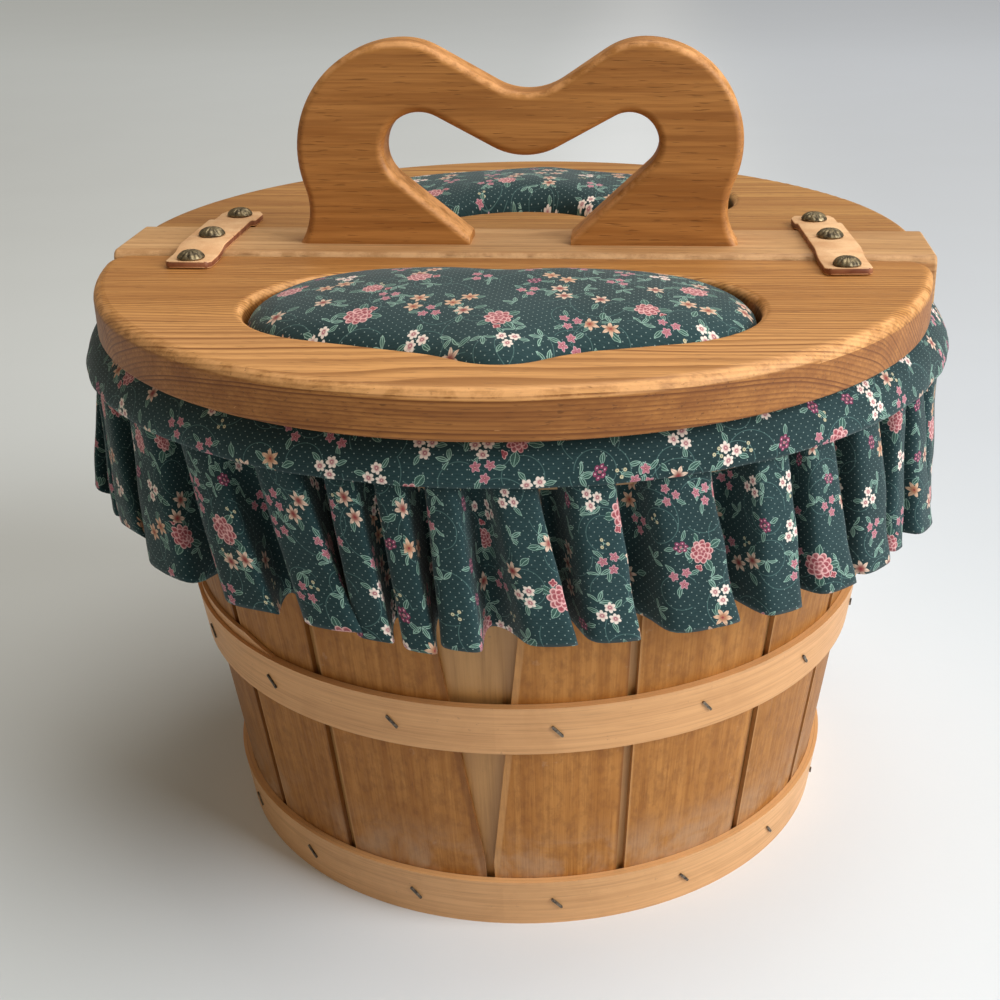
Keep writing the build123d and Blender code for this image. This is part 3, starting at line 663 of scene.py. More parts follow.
def boardWood(name, pale, deep, ring, seed, heart, spacing, wander=0.004, wear=0.6, roughness=0.40,
              lines=0.55, sides=0.7, rubbed=0.0):
    fit = boardFit
    material, shader = newMaterial(name, specular=fit["specular"])
    grain = useGroup(
        "boardGrain", heartY=heart[0], heartZ=heart[1], spacing=spacing, wander=wander, seed=seed,
    )
    worn = useGroup("edgeWear", patch=fit["patch"], seed=seed)
    marks = useGroup("scuffs", size=fit["scuffs"], seed=seed)
    dents = marks["specks"] * worn["wear"]
    found = {**grain, **worn, **marks, "dents": dents}
    lit = scaled(pale, fit["litShare"], fit["litMore"])
    pore, dent = scaled(ring, fit["poreShade"]), scaled(ring, fit["dentShade"])
    tones = {"ring": ring, "pore": pore, "dent": dent, "lit": lit}
    color = mix(fade(grain["figure"], *fit["figure"]), deep, pale)
    if rubbed:
        _, y, _ = parted(coordinate())
        color = mix(fade(y, *fit["rub"], 0.0, rubbed) - worn["side"], color, lit)
    inside = (("rings", lines, "ring"), ("fibre", fit["fibre"], "ring"), ("pores", 0.45, "pore"))
    color = layered(color, found, tones, *inside)
    color = mix(worn["side"] * sides, color, fit["sideColor"], "MULTIPLY")
    outside = (("wear", wear, "lit"), ("dents", 0.7, "dent"), ("scratches", 0.45, "lit"))
    color = layered(color, found, tones, *outside)
    height = grain["fibre"] * fit["fibreRise"] - (grain["pores"] + grain["rings"] * fit["ringDrop"])
    rough = roughness + grain["fibre"] * fit["fibreRoughness"] + worn["wear"] * fit["wearRoughness"]
    return dressed(material, shader, color, height - dents * fit["dentDrop"], fit["bump"], rough)


# Each stave is a strip of its own, with its own grain, tone and edges; the tone is partly painted shade, and
# one edge carries a painted shadow line
staveFit = {
    "pale": (0.48, 0.208, 0.048), "deep": (0.345, 0.132, 0.023), "dark": (0.170, 0.056, 0.011),
    "gapAngle": 1.5,
    # Lightness of each stave, from the one right of the front wedge, going to the right: partly each stave's
    # own tone, partly painted shade on the staves just left of the front, the 13th to the 15th
    "tones": (1.06, 1.0, 0.93, 0.88, 0.95, 0.92, 1.0, 0.92, 0.97, 0.9, 0.98, 0.9, 0.80, 0.80, 0.90, 0.98),
    "specular": 0.3, "roundScale": 1050.0, "uprightScale": 26.0, "grainSeed": 3.7, "scuffSeed": 1.3,
    "scuffs": 120.0,
    "streak": (0.28, 0.72), "mottleStretch": (1.0, 1.0, 0.6), "mottleScale": 260.0,
    "footRub": (0.022, 0.06), "footPatch": (0.4, 0.65),
    "layers": (
        ("figure", (0.42, 0.72, 0.0, 0.75), "deep"), ("mottle", (0.4, 0.7, 0.0, 0.4), "dark"),
        ("fibre", (0.42, 0.8, 0.0, 0.34), "dark"), ("fleck", 0.3, "dark"), ("foot", 0.35, (0.62, 0.47, 0.33)),
        # A lighter strip runs along one long edge; fromRight paints a dark shadow line along the other,
        # beside the gap
        ("specks", 0.10, (0.66, 0.50, 0.36)), ("fromLeft", (0.0002, 0.0012, 0.4, 0.0), (0.62, 0.34, 0.14)),
        ("fromRight", (0.0002, 0.0016, 0.5, 0.0), "dark"),
    ),
    "figureRise": 1.4, "bump": (0.35, 0.0004), "roughness": (0.2, 0.8, 0.44, 0.62),
}


def gapAzimuth(number):
    turns, near = divmod(number, basket["staveCount"])
    if near > basket["staveCount"] / 2:
        near, turns = near - basket["staveCount"], turns + 1
    pitch = 360.0 / basket["staveCount"]
    return basket["wedgeAzimuth"] + pitch * near + 360.0 * turns + basket["gapShift"].get(near, 0.0)


def staveVeneer(number):
    fit = staveFit
    start = gapAzimuth(number) + fit["gapAngle"] / 2
    end = gapAzimuth(number + 1) - fit["gapAngle"] / 2
    material, shader = newMaterial(f"staveVeneer{number + 1:02d}", specular=fit["specular"])
    grain = useGroup(
        "veneerGrain", roundScale=fit["roundScale"], uprightScale=fit["uprightScale"],
        seed=fit["grainSeed"] * number,
    )
    edges = useGroup(
        "staveEdges", middle=(start + end) / 2,
        halfWidth=math.radians(end - start) / 2 * basket["meanRadius"],
        leftWedge=basket["wedgeSpread"] if number == 0 else 0.0,
        rightWedge=basket["wedgeSpread"] if number == basket["staveCount"] - 1 else 0.0,
    )
    marks = useGroup("scuffs", size=fit["scuffs"], seed=fit["scuffSeed"] * number)
    tones = {name: scaled(fit[name], fit["tones"][number]) for name in ("pale", "deep", "dark")}
    stretched = vector("MULTIPLY", coordinate(), fit["mottleStretch"])
    mottle = cloud(stretched, fit["mottleScale"], detail=3.0, roughness=0.7)
    _, _, z = parted(coordinate())
    foot = ebb(z, *fit["footRub"]) * fade(grain["figure"], *fit["footPatch"])
    found = {**grain, **edges, **marks, "mottle": mottle, "foot": foot}
    color = mix(fade(grain["streak"], *fit["streak"]), tones["deep"], tones["pale"])
    color = layered(color, found, tones, *fit["layers"])
    height = grain["figure"] * fit["figureRise"] - grain["fibre"]
    return dressed(material, shader, color, height, fit["bump"], fade(grain["fibre"], *fit["roughness"]))


# Bent strip: fine fibres along the hoop, dark flecks, and lighter on faces that turn upward
hoopFit = {
    "specular": 0.6, "scuffs": 260.0, "streak": (0.2, 0.7, 0.35, 1.0), "darkShade": 0.55, "litShade": 1.3,
    "layers": (
        ("figure", (0.4, 0.75, 0.0, 0.4), "deep"), ("fibre", (0.45, 0.8, 0.0, 0.35), "dark"),
        ("specks", 0.3, (0.16, 0.085, 0.04)), ("up", (0.4, 0.9, 0.0, 0.5), "lit"),
    ),
    "streakRise": 0.6, "bump": (0.35, 0.0003), "roughness": (0.2, 0.8, 0.40, 0.56),
}


def hoopWood(name, pale, deep, seed, roundScale=30.0, uprightScale=1500.0):
    fit = hoopFit
    material, shader = newMaterial(name, specular=fit["specular"])
    grain = useGroup("veneerGrain", roundScale=roundScale, uprightScale=uprightScale, seed=seed)
    marks = useGroup("scuffs", size=fit["scuffs"], seed=seed)
    _, _, up = parted(coordinate("Normal"))
    tones = {"deep": deep, "dark": scaled(deep, fit["darkShade"]), "lit": scaled(pale, fit["litShade"])}
    color = mix(fade(grain["streak"], *fit["streak"]), deep, pale)
    color = layered(color, {**grain, **marks, "up": up}, tones, *fit["layers"])
    height = grain["fibre"] + grain["streak"] * fit["streakRise"]
    return dressed(material, shader, color, height, fit["bump"], fade(grain["fibre"], *fit["roughness"]))


# Light leather with faint creases, red-brown where it is cut
leatherFit = {
    "blotchScale": 90.0, "blotch": (0.3, 0.7), "dark": (0.68, 0.37, 0.175), "pale": (0.84, 0.53, 0.28),
    "pebbleScale": 1500.0, "creaseStretch": (60.0, 700.0, 300.0),
    "layers": (
        ("crease", (0.55, 0.75, 0.0, 0.4), (0.50, 0.24, 0.10)),
        ("pebble", (0.3, 0.7, 0.0, 0.18), (0.55, 0.28, 0.13)),
    ),
    "cut": (0.35, 0.7), "cutDark": (0.17, 0.045, 0.018), "cutPale": (0.34, 0.13, 0.06),
    "creaseRise": 1.5, "bump": (0.3, 0.0002), "roughness": (0.2, 0.8, 0.42, 0.6),
}


def strapLeather():
    fit = leatherFit
    material, shader = newMaterial("strapLeather")
    place = coordinate()
    blotch = cloud(place, fit["blotchScale"], detail=4.0, roughness=0.6)
    pebble = cloud(place, fit["pebbleScale"], detail=3.0, roughness=0.6)
    crease = cloud(vector("MULTIPLY", place, fit["creaseStretch"]), 1.0, distortion=0.8)
    isCut = signal(newNode("Attribute", attribute_name="cutEdge").outputs["Fac"])
    color = mix(fade(blotch, *fit["blotch"]), fit["dark"], fit["pale"])
    color = layered(color, {"crease": crease, "pebble": pebble}, {}, *fit["layers"])
    color = mix(isCut, color, mix(fade(blotch, *fit["cut"]), fit["cutDark"], fit["cutPale"]))
    height = pebble + crease * fit["creaseRise"]
    return dressed(material, shader, color, height, fit["bump"], fade(pebble, *fit["roughness"]))


# Antique metal: darker and rubbed bright in patches
metalFit = {"patch": (0.35, 0.65), "dull": (0.3, 0.7), "dullness": 0.2, "pitScale": 3, "bump": (0.2, 0.0001)}


def tarnishedMetal(name, bright, dark, scale, roughness, shine):
    fit = metalFit
    material, shader = newMaterial(name, roughness=roughness, metallic=shine)
    place = coordinate()
    patch = cloud(place, scale, detail=4.0, roughness=0.65)
    color = mix(fade(patch, *fit["patch"]), dark, bright)
    rough = fade(patch, *fit["dull"], roughness + fit["dullness"], roughness)
    pits = cloud(place, scale * fit["pitScale"], detail=3.0)
    return dressed(material, shader, color, pits, fit["bump"], rough)


# Pale matt floor with painted shade: darker to the left, to the right and toward the back on the right,
# around a painted pool of light near the basket; the far part is lifted for the camera alone, less on the
# left, so that shadows stay
floorFit = {
    "left": (0.67, 0.695, 0.70), "middle": (0.87, 0.905, 0.945), "leftShadeFade": (-0.24, 0.02),
    "backShadeFade": (-0.1, 0.5), "backShadeStart": (0.0, 0.4), "speckScale": 6.0,
    "layers": (
        ("x", (0.02, 0.3), (0.70, 0.735, 0.77)), ("back", 1.0, (0.60, 0.63, 0.68)),
        ("speck", (0.3, 0.7, 0.0, 0.05), (0.5, 0.5, 0.49)),
    ),
    "lift": (-1.4, 0.8), "liftLeft": (0.185, 0.20, 0.205), "liftRight": (0.25, 0.27, 0.30),
    "liftStart": (0.6, 2.8), "size": 16.0, "middleY": 4.0, "grainScale": 240.0, "bump": (0.05, 0.001),
}


def floorPaint():
    fit = floorFit
    material, shader = newMaterial("floorPaint", roughness=0.8, specular=0.2)
    x, y, _ = parted(coordinate())
    # Painted shade: the colour darkens to the left, to the right and toward the back right, standing in for
    # the light's falloff
    back = fade(y, *fit["backShadeFade"]) * fade(x, *fit["backShadeStart"])
    speck = cloud(coordinate(), fit["speckScale"], detail=4.0)
    color = mix(fade(x, *fit["leftShadeFade"]), fit["left"], fit["middle"])
    color = layered(color, {"x": x, "back": back, "speck": speck}, {}, *fit["layers"])
    seen = signal(newNode("LightPath").outputs["Is Camera Ray"])
    lift = mix(fade(x, *fit["lift"]), fit["liftLeft"], fit["liftRight"])
    plug(shader["Emission Color"], mix(seen * fade(y, *fit["liftStart"]), (0.0, 0.0, 0.0), lift))
    shader["Emission Strength"].default_value = 1.0
    return dressed(material, shader, color, cloud(coordinate(), fit["grainScale"], detail=3.0), fit["bump"])


woodFit = {
    "frontLid": {
        "name": "lidWoodFront", "pale": (0.60, 0.285, 0.082), "deep": (0.43, 0.185, 0.048),
        "ring": (0.24, 0.088, 0.020), "seed": 0.0, "heart": (-0.20, 0.13), "spacing": 0.0017, "lines": 1.0,
        "rubbed": 0.42,
    },
    "backLid": {
        "name": "lidWoodBack", "pale": (0.55, 0.28, 0.085), "deep": (0.41, 0.185, 0.052),
        "ring": (0.24, 0.090, 0.024), "seed": 4.1, "heart": (0.19, 0.14), "spacing": 0.0019, "lines": 0.95,
    },
    "bar": {
        "name": "barWood", "pale": (0.68, 0.395, 0.18), "deep": (0.52, 0.28, 0.115),
        "ring": (0.32, 0.15, 0.055), "seed": 8.7, "heart": (0.01, 0.21), "spacing": 0.0021, "wear": 0.35,
        "sides": 0.3,
    },
    "handle": {
        "name": "handleWood", "pale": (0.57, 0.255, 0.068), "deep": (0.40, 0.160, 0.036),
        "ring": (0.24, 0.084, 0.018), "seed": 2.9, "heart": (0.14, 0.20), "spacing": 0.0026, "wander": 0.014,
        "lines": 0.26, "sides": 0.15,
    },
    "block": {
        "name": "blockWood", "pale": (0.64, 0.42, 0.20), "deep": (0.53, 0.32, 0.14),
        "ring": (0.38, 0.20, 0.08), "seed": 6.3, "heart": (0.0, 0.2), "spacing": 0.003, "wear": 0.2,
        "roughness": 0.6, "sides": 0.2,
    },
    "padBoard": {
        "name": "padBoardWood", "pale": (0.62, 0.44, 0.26), "deep": (0.52, 0.35, 0.19),
        "ring": (0.40, 0.24, 0.12), "seed": 5.2, "heart": (0.0, 0.15), "spacing": 0.003, "wear": 0.1,
        "roughness": 0.65, "sides": 0.1,
    },
}
stripFit = {
    "inner": {
        "name": "innerVeneer", "pale": (0.49, 0.25, 0.078), "deep": (0.33, 0.155, 0.042), "seed": 21.0,
        "roundScale": 900.0, "uprightScale": 26.0,
    },
    "bottom": {
        "name": "hoopWoodBottom", "pale": (0.72, 0.39, 0.165), "deep": (0.50, 0.245, 0.085), "seed": 2.0,
    },
    "middle": {
        "name": "hoopWoodMiddle", "pale": (0.71, 0.37, 0.15), "deep": (0.50, 0.235, 0.078), "seed": 9.0,
    },
    "rim": {"name": "hoopWoodRim", "pale": (0.58, 0.33, 0.14), "deep": (0.42, 0.22, 0.08), "seed": 15.0},
}
tarnishFit = {
    "brass": {
        "name": "antiqueBrass", "bright": (0.30, 0.235, 0.135), "dark": (0.065, 0.052, 0.036), "scale": 420.0,
        "roughness": 0.38, "shine": 0.9,
    },
    "wire": {
        "name": "stapleWire", "bright": (0.24, 0.20, 0.15), "dark": (0.06, 0.05, 0.045), "scale": 500.0,
        "roughness": 0.45, "shine": 0.8,
    },
    "zinc": {
        "name": "screwZinc", "bright": (0.60, 0.60, 0.57), "dark": (0.36, 0.36, 0.34), "scale": 300.0,
        "roughness": 0.32, "shine": 1.0,
    },
}
woods = {key: boardWood(**fit) for key, fit in woodFit.items()}
strips = {key: hoopWood(**fit) for key, fit in stripFit.items()}
metals = {key: tarnishedMetal(**fit) for key, fit in tarnishFit.items()}
leather = strapLeather()
floral = floralCloth("floralCotton")
print("materials made")


# The CAD parts that show keep their shape and get their finish
def paint(name, material):
    slots = nodes[name].material_slots
    if not slots:
        nodes[name].data.materials.append(material)
    for slot in slots:
        slot.material = material


for number in range(basket["staveCount"]):
    paint(f"outer_stave_{number + 1:02d}", staveVeneer(number))
for name, material in {
    "inner_staves": strips["inner"], "bottom_board": woods["padBoard"],
    "bottom_hoop_first_turn": strips["bottom"], "bottom_hoop_second_turn": strips["bottom"],
    "middle_hoop_first_turn": strips["middle"], "middle_hoop_second_turn": strips["middle"],
    "rim_hoop_outer": strips["rim"], "rim_hoop_inner": strips["rim"],
    "bottom_hoop_staples": metals["wire"], "middle_hoop_staples": metals["wire"],
    "cross_bar": woods["bar"], "handle": woods["handle"],
    "front_lid": woods["frontLid"], "back_lid": woods["backLid"],
    "front_pad_board": woods["padBoard"], "back_pad_board": woods["padBoard"],
    "bar_block_left": woods["block"], "bar_block_right": woods["block"],
    "handle_screws": metals["zinc"], "bar_block_screws": metals["zinc"],
}.items():
    paint(name, material)

# The floor
deselectAll()
bpy.ops.mesh.primitive_plane_add(size=floorFit["size"], location=(0.0, floorFit["middleY"], 0.0))
floor = bpy.context.object
floor.name = "floor"
bpy.ops.object.transform_apply(location=True, rotation=True, scale=True)
floor.data.materials.append(floorPaint())


def applyAll(piece):
    pick(piece)
    for modifier in list(piece.modifiers):
        bpy.ops.object.modifier_apply(modifier=modifier.name)


def addModifier(piece, kind, **settings):
    modifier = piece.modifiers.new(kind.lower(), kind)
    for label, setting in settings.items():
        setattr(modifier, label, setting)


def openMesh():
    bpy.ops.object.mode_set(mode="EDIT")
    bpy.ops.mesh.select_all(action="SELECT")


def closeMesh():
    bpy.ops.mesh.select_all(action="SELECT")
    bpy.ops.mesh.normals_make_consistent(inside=False)
    bpy.ops.object.mode_set(mode="OBJECT")


def extrude(*move):
    bpy.ops.mesh.extrude_region_move(TRANSFORM_OT_translate={"value": move})


def roundNoise(angle, scale, third):
    return fieldNoise.noise(Vector((math.cos(angle) * scale, math.sin(angle) * scale, third)))


# Sheets of cloth are laid out in rows and columns and closed round the basket
def roundSheet(name, rows, wide, tall, thickness):
    # rows[i][j] is the point of row i and column j; wide and tall are their places on the flat cloth
    rowCount, columnCount = rows.shape[:2]
    order = np.arange(rowCount * columnCount).reshape(rowCount, columnCount)
    onward = np.roll(order, -1, axis=1)
    faces = np.stack([order[1:], onward[1:], onward[:-1], order[:-1]], axis=-1).reshape(-1, 4)
    mesh = bpy.data.meshes.new(name)
    mesh.from_pydata(rows.reshape(-1, 3).tolist(), [], faces.tolist())
    left, low = np.meshgrid(wide[:-1], tall[1:])
    right, high = np.meshgrid(wide[1:], tall[:-1])
    corners = np.stack([left, low, right, low, right, high, left, high], axis=-1)
    mesh.uv_layers.new(name="cloth").data.foreach_set("uv", corners.astype(np.float32).ravel())
    piece = addPiece(name, mesh)
    mesh.materials.append(floral)
    mesh.shade_smooth()
    addModifier(piece, "SOLIDIFY", thickness=thickness, offset=-1.0)
    applyAll(piece)
    return piece


ruffleFit = {
    "folds": 43, "columnsPerFold": 26, "rows": 36, "length": 0.0640, "thickness": 0.0006, "clearance": 0.0028,
    "topZ": 0.2266, "topRadius": 0.1868, "hemRadius": 0.1916, "shiftX": -0.0022, "topDepth": 0.0100,
    "hemDepth": 0.0245, "earlyDepth": 0.7, "seed": 11,
    # How unlike each other the folds are
    "pitchSpread": 0.60, "depthSpread": 0.30, "crest": (0.40, 0.66), "wrap": (0.8, 1.35),
    "lean": (0.05, 0.62), "hemSpread": 0.0030, "lengthSpread": 0.0024,
    "smoothing": {"dip": 1, "lean": 2, "belly": 4, "length": 4},
    # The shape of one fold: how sharp its valley is, how far it is pulled in, and its lean round the basket
    "valleyPower": 1.9, "pull": 0.7, "leanShare": 0.8, "leanSwing": 0.5, "hemSlant": 0.0036,
    # Slanted hang: more to the right of the front, and more or less by place
    "slantRight": 0.046, "slantSwing": 0.75, "slant": 0.034,
    # Noise round the basket: its scale and its change down the cloth, and how much of it is used
    "fine": (9, 3.1), "fineDepth": 0.0018, "fineTurn": 0.006, "pleat": (30, 1.3), "pleatDepth": 0.0022,
    "gatherRun": 0.013, "sweep": (4, 7.3), "leastFall": 0.45,
    # The hem turned up inside: distance back from the edge, and gap to the outer cloth
    "turnUp": ((0.0006, 0.0008), (0.003, 0.0011), (0.007, 0.0007)), "runAt": 0.7,
}


def smoothRow(values, passes):
    for _ in range(passes):
        values = 0.25 * np.roll(values, 1) + 0.5 * values + 0.25 * np.roll(values, -1)
    return values


def makeRuffle():
    fit = ruffleFit
    draw = random.Random(fit["seed"])
    count, rowCount = fit["folds"], fit["rows"]

    def draws(low, high):
        return np.array([[draw.uniform(low, high)] for _ in range(count)])

    pitches = 1 + fit["pitchSpread"] * draws(-1, 1)
    pitches *= fullTurn / pitches.sum()
    starts = np.cumsum(pitches)[:, None] - pitches
    valleys = 1 + fit["depthSpread"] * draws(-1, 1)
    crests = draws(*fit["crest"])
    bulges = draws(-1, 1)
    lengths = draws(-1, 1)
    wraps = draws(*fit["wrap"])
    leans = draws(*fit["lean"])

    # From valley to valley each fold goes through its crest at phase 0.5
    share = np.arange(fit["columnsPerFold"]) / fit["columnsPerFold"]
    phase = np.where(share < crests, 0.5 * share / crests, 0.5 + 0.5 * (share - crests) / (1 - crests))
    falls = (0.5 + 0.5 * np.cos(fullTurn * phase)) ** fit["valleyPower"]
    ends = np.where(share < crests, valleys, np.roll(valleys, -1, axis=0))
    wrap = wraps * np.sin(2 * fullTurn * phase) / (2 * fullTurn)
    pull = wrap - fit["pull"] * np.sin(fullTurn * phase) / fullTurn
    lean = leans * (fit["leanShare"] - fit["leanSwing"] * np.sin(starts)) * (1 - falls)
    longer = (1 - falls) * (fit["lengthSpread"] * lengths + fit["hemSlant"] * (2 * phase - 1))
    even = (starts + pitches * share).ravel()
    pulled = (pitches * pull).ravel()
    passes = fit["smoothing"]
    dip = smoothRow((falls * ends).ravel(), passes["dip"])
    leant = smoothRow((pitches * lean).ravel(), passes["lean"])
    belly = smoothRow(((1 - falls) * bulges).ravel(), passes["belly"])
    lengthen = smoothRow(longer.ravel(), passes["length"])

    # Row by row the cloth keeps its length down the fold
    down = np.linspace(0.0, 1.0, rowCount)
    rows = np.zeros((rowCount, len(even), 3))
    height = np.full(len(even), fit["topZ"])
    step = (fit["length"] + lengthen) / (rowCount - 1)
    sweep = np.array([roundNoise(t, *fit["sweep"]) for t in even])
    slant = fit["slantRight"] * fit["slantSwing"] * (1 - np.sin(even)) * (0.5 + 0.5 * np.cos(even))
    slant += fit["slant"] * sweep
    for i, share in enumerate(down):
        eased = share * share * (3 - 2 * share)
        opened = fit["earlyDepth"] * math.sqrt(share) + (1 - fit["earlyDepth"]) * eased
        depth = fit["topDepth"] + (fit["hemDepth"] - fit["topDepth"]) * opened
        gather = math.exp(-share * fit["length"] / fit["gatherRun"])
        radius = fit["topRadius"] + (fit["hemRadius"] - fit["topRadius"]) * share
        scales = ((scale, change * share) for scale, change in (fit["fine"], fit["pleat"]))
        fine, pleat = (np.array([roundNoise(t, *scale) for t in even]) for scale in scales)
        r = radius - depth * dip + (fit["hemSpread"] * belly + fit["fineDepth"] * fine) * share
        r = np.maximum(r + fit["pleatDepth"] * pleat * gather, wallRadius(height, fit["clearance"]))
        t = even + pulled * (0.5 + 0.5 * share) + share * (leant + fit["fineTurn"] * fine + slant)
        x, y = fit["shiftX"] + r * np.sin(t), -r * np.cos(t)
        if i > 0:
            flat = (x - rows[i - 1, :, 0]) ** 2 + (y - rows[i - 1, :, 1]) ** 2
            height = height - np.sqrt(np.maximum(step ** 2 - flat, (fit["leastFall"] * step) ** 2))
        rows[i] = np.stack([x, y, height], axis=-1)
    # The hem is turned up inside
    inner = []
    for back, gap in fit["turnUp"]:
        share = back / fit["length"] * (rowCount - 1)
        low, part = int(share), share - int(share)
        at = rows[-1 - low] * (1 - part) + rows[-2 - low] * part
        middle = at[:, :2]
        along = np.roll(middle, -1, axis=0) - np.roll(middle, 1, axis=0)
        normal = np.stack([-along[:, 1], along[:, 0]], axis=-1)
        normal /= np.linalg.norm(normal, axis=1)[:, None]
        inner.append(np.concatenate([middle + normal * gap, at[:, 2:]], axis=1))
    rows = np.concatenate([rows, np.array(inner)], axis=0)
    run = rows[int(rowCount * fit["runAt"])]
    wide = np.concatenate([[0.0], np.cumsum(np.linalg.norm(np.roll(run, -1, axis=0) - run, axis=1))])
    tall = np.concatenate([-down * fit["length"], [-fit["length"] - back for back, _ in fit["turnUp"]]])
    print("ruffle cloth: %.3f m round at 0.7 of its height, hem at %.1f mm" % (wide[-1], 1000 * height.min()))
    return roundSheet("ruffleCloth", rows, wide, tall, fit["thickness"]), wide[-1]


ruffle, ruffleRun = makeRuffle()
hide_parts("ruffle")
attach(ruffle, "basket")

bandFit = {
    "columns": 400, "steps": 40, "thickness": 0.0008, "outward": 0.0022, "shiftX": -0.0022,
    "uvRadius": 0.185, "uvShift": 3.1, "outerRun": 0.013, "outerFrom": 0.18, "innerRun": 0.009,
    "rampFrom": 0.170, "rampRun": 0.011,
    # Puckers at the seams, and slow waves over the cloth
    "pucker": 0.0008, "puckerScale": 15.5, "waveScale": 3, "waveRise": 40, "wave": 0.0007, "leastWave": 0.4,
    "lift": 0.0006,
    # The section from the inner seam, over the rim hoops, and down the outside to the outer seam
    "section": (
        (0.16155, 0.2303), (0.1622, 0.2362), (0.16285, 0.2405), (0.1642, 0.2430), (0.1670, 0.2434),
        (0.1740, 0.2433), (0.1776, 0.2432), (0.1796, 0.2419), (0.1818, 0.2395), (0.1842, 0.2366),
        (0.1863, 0.2332),
        (0.1877, 0.2296), (0.1882, 0.2270), (0.18795, 0.2256), (0.1869, 0.2251), (0.1858, 0.2259),
    ),
}


def curveThrough(points, count, fineness=12):
    # Even steps along a smooth line through the points, and how far along it each is
    points = np.array(points)
    padded = np.concatenate([[2 * points[0] - points[1]], points, [2 * points[-1] - points[-2]]])
    fine = []
    for a, b, c, d in zip(padded, padded[1:], padded[2:], padded[3:]):
        for t in np.linspace(0, 1, fineness, endpoint=False):
            bend = (2 * a - 5 * b + 4 * c - d) * t ** 2 + (3 * b - a - 3 * c + d) * t ** 3
            fine.append(0.5 * (2 * b + (c - a) * t + bend))
    fine = np.array([*fine, points[-1]])
    run = np.concatenate([[0.0], np.cumsum(np.linalg.norm(np.diff(fine, axis=0), axis=1))])
    at = np.linspace(0, run[-1], count)
    return np.stack([np.interp(at, run, fine[:, 0]), np.interp(at, run, fine[:, 1])], axis=-1), at


def makeBand():
    fit = bandFit
    section, at = curveThrough(fit["section"], fit["steps"])
    angles = np.arange(fit["columns"]) * fullTurn / fit["columns"]
    wave = np.array([roundNoise(t, fit["puckerScale"], 0.0) for t in angles])
    rows = np.zeros((len(section), fit["columns"], 3))
    for i, (radius, height) in enumerate(section):
        low = max(0.0, 1 - abs(at[-1] - at[i]) / fit["outerRun"]) if radius > fit["outerFrom"] else 0.0
        inside = max(0.0, 1 - at[i] / fit["innerRun"])
        outer = min(1.0, max(0.0, (radius - fit["rampFrom"]) / fit["rampRun"]))
        slow = np.array([roundNoise(t, fit["waveScale"], height * fit["waveRise"]) for t in angles])
        r = radius + fit["outward"] * outer + fit["pucker"] * wave * (low + inside)
        r += fit["wave"] * slow * min(1.0, low + fit["leastWave"])
        x, y = fit["shiftX"] * outer + r * np.sin(angles), -r * np.cos(angles)
        rows[i] = np.stack([x, y, height + fit["lift"] * slow * low], axis=-1)
    wide = np.arange(fit["columns"] + 1) * fullTurn * fit["uvRadius"] / fit["columns"] + fit["uvShift"]
    return roundSheet("rimBandCloth", rows, wide, -at, fit["thickness"]), at[-1]


band, bandRun = makeBand()
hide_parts("rim_band")
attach(band, "basket")

liningFit = {
    "columns": 320, "rows": 30, "topZ": 0.2298, "footZ": 0.0184, "faceOffset": -0.0083, "wave": 0.0009,
    "thickness": 0.0006, "waveScale": 9, "waveFall": 1.4, "uvRadius": 0.148, "uvShift": 5.3,
}


def makeLining():
    fit = liningFit
    angles = fullTurn * np.arange(fit["columns"]) / fit["columns"]
    down = np.linspace(0, 1, fit["rows"])
    rows = np.zeros((fit["rows"], fit["columns"], 3))
    for i, share in enumerate(down):
        height = fit["topZ"] + (fit["footZ"] - fit["topZ"]) * share
        wave = np.array([roundNoise(t, fit["waveScale"], share * fit["waveFall"]) for t in angles])
        radius = wallRadius(height, fit["faceOffset"] - fit["wave"] * (0.5 + wave))
        level = np.full(fit["columns"], height)
        rows[i] = np.stack([radius * np.sin(angles), -radius * np.cos(angles), level], axis=-1)
    wide = np.arange(fit["columns"] + 1) * fullTurn * fit["uvRadius"] / fit["columns"] + fit["uvShift"]
    return roundSheet("liningWallCloth", rows, wide, down * (fit["footZ"] - fit["topZ"]), fit["thickness"])


lining = makeLining()
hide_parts("lining_wall")
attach(lining, "basket")
print("ruffle, band and lining made")


def flatUv(piece, shift):
    # The cloth's own plane, seen from above, in metres
    mesh = piece.data
    layer = mesh.uv_layers.new(name="cloth") if not mesh.uv_layers else mesh.uv_layers[0]
    for loop in mesh.loops:
        point = mesh.vertices[loop.vertex_index].co
        layer.data[loop.index].uv = (point.x + shift[0], point.y + shift[1])


# The lining of the bottom: a thin card under cloth, a little crowned
floorLiningFit = {
    "segments": 96, "radius": 0.1309, "low": 0.0182, "high": 0.0201, "uvShift": (7.0, 3.0),
    # Each step of the crown: how far it rises, and how far in it goes
    "crown": ((0.0004, 0.0016), (0.0004, 0.02), (0.0003, 0.045), (0.0001, 0.05)),
}
deselectAll()
bpy.ops.mesh.primitive_circle_add(
    vertices=floorLiningFit["segments"], radius=floorLiningFit["radius"], fill_type="NGON",
    location=(0.0, 0.0, floorLiningFit["low"]),
)
liningFloor = bpy.context.object
liningFloor.name = "liningFloorCloth"
bpy.ops.object.mode_set(mode="EDIT")
extrude(0, 0, floorLiningFit["high"] - floorLiningFit["low"])
for rise, inset in floorLiningFit["crown"]:
    bpy.ops.mesh.inset(thickness=inset, depth=rise)
bpy.ops.object.mode_set(mode="OBJECT")
bpy.ops.object.transform_apply(location=True, rotation=True, scale=True)
liningFloor.data.materials.append(floral)
liningFloor.data.shade_smooth()
flatUv(liningFloor, floorLiningFit["uvShift"])
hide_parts("lining_floor")
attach(liningFloor, "basket")


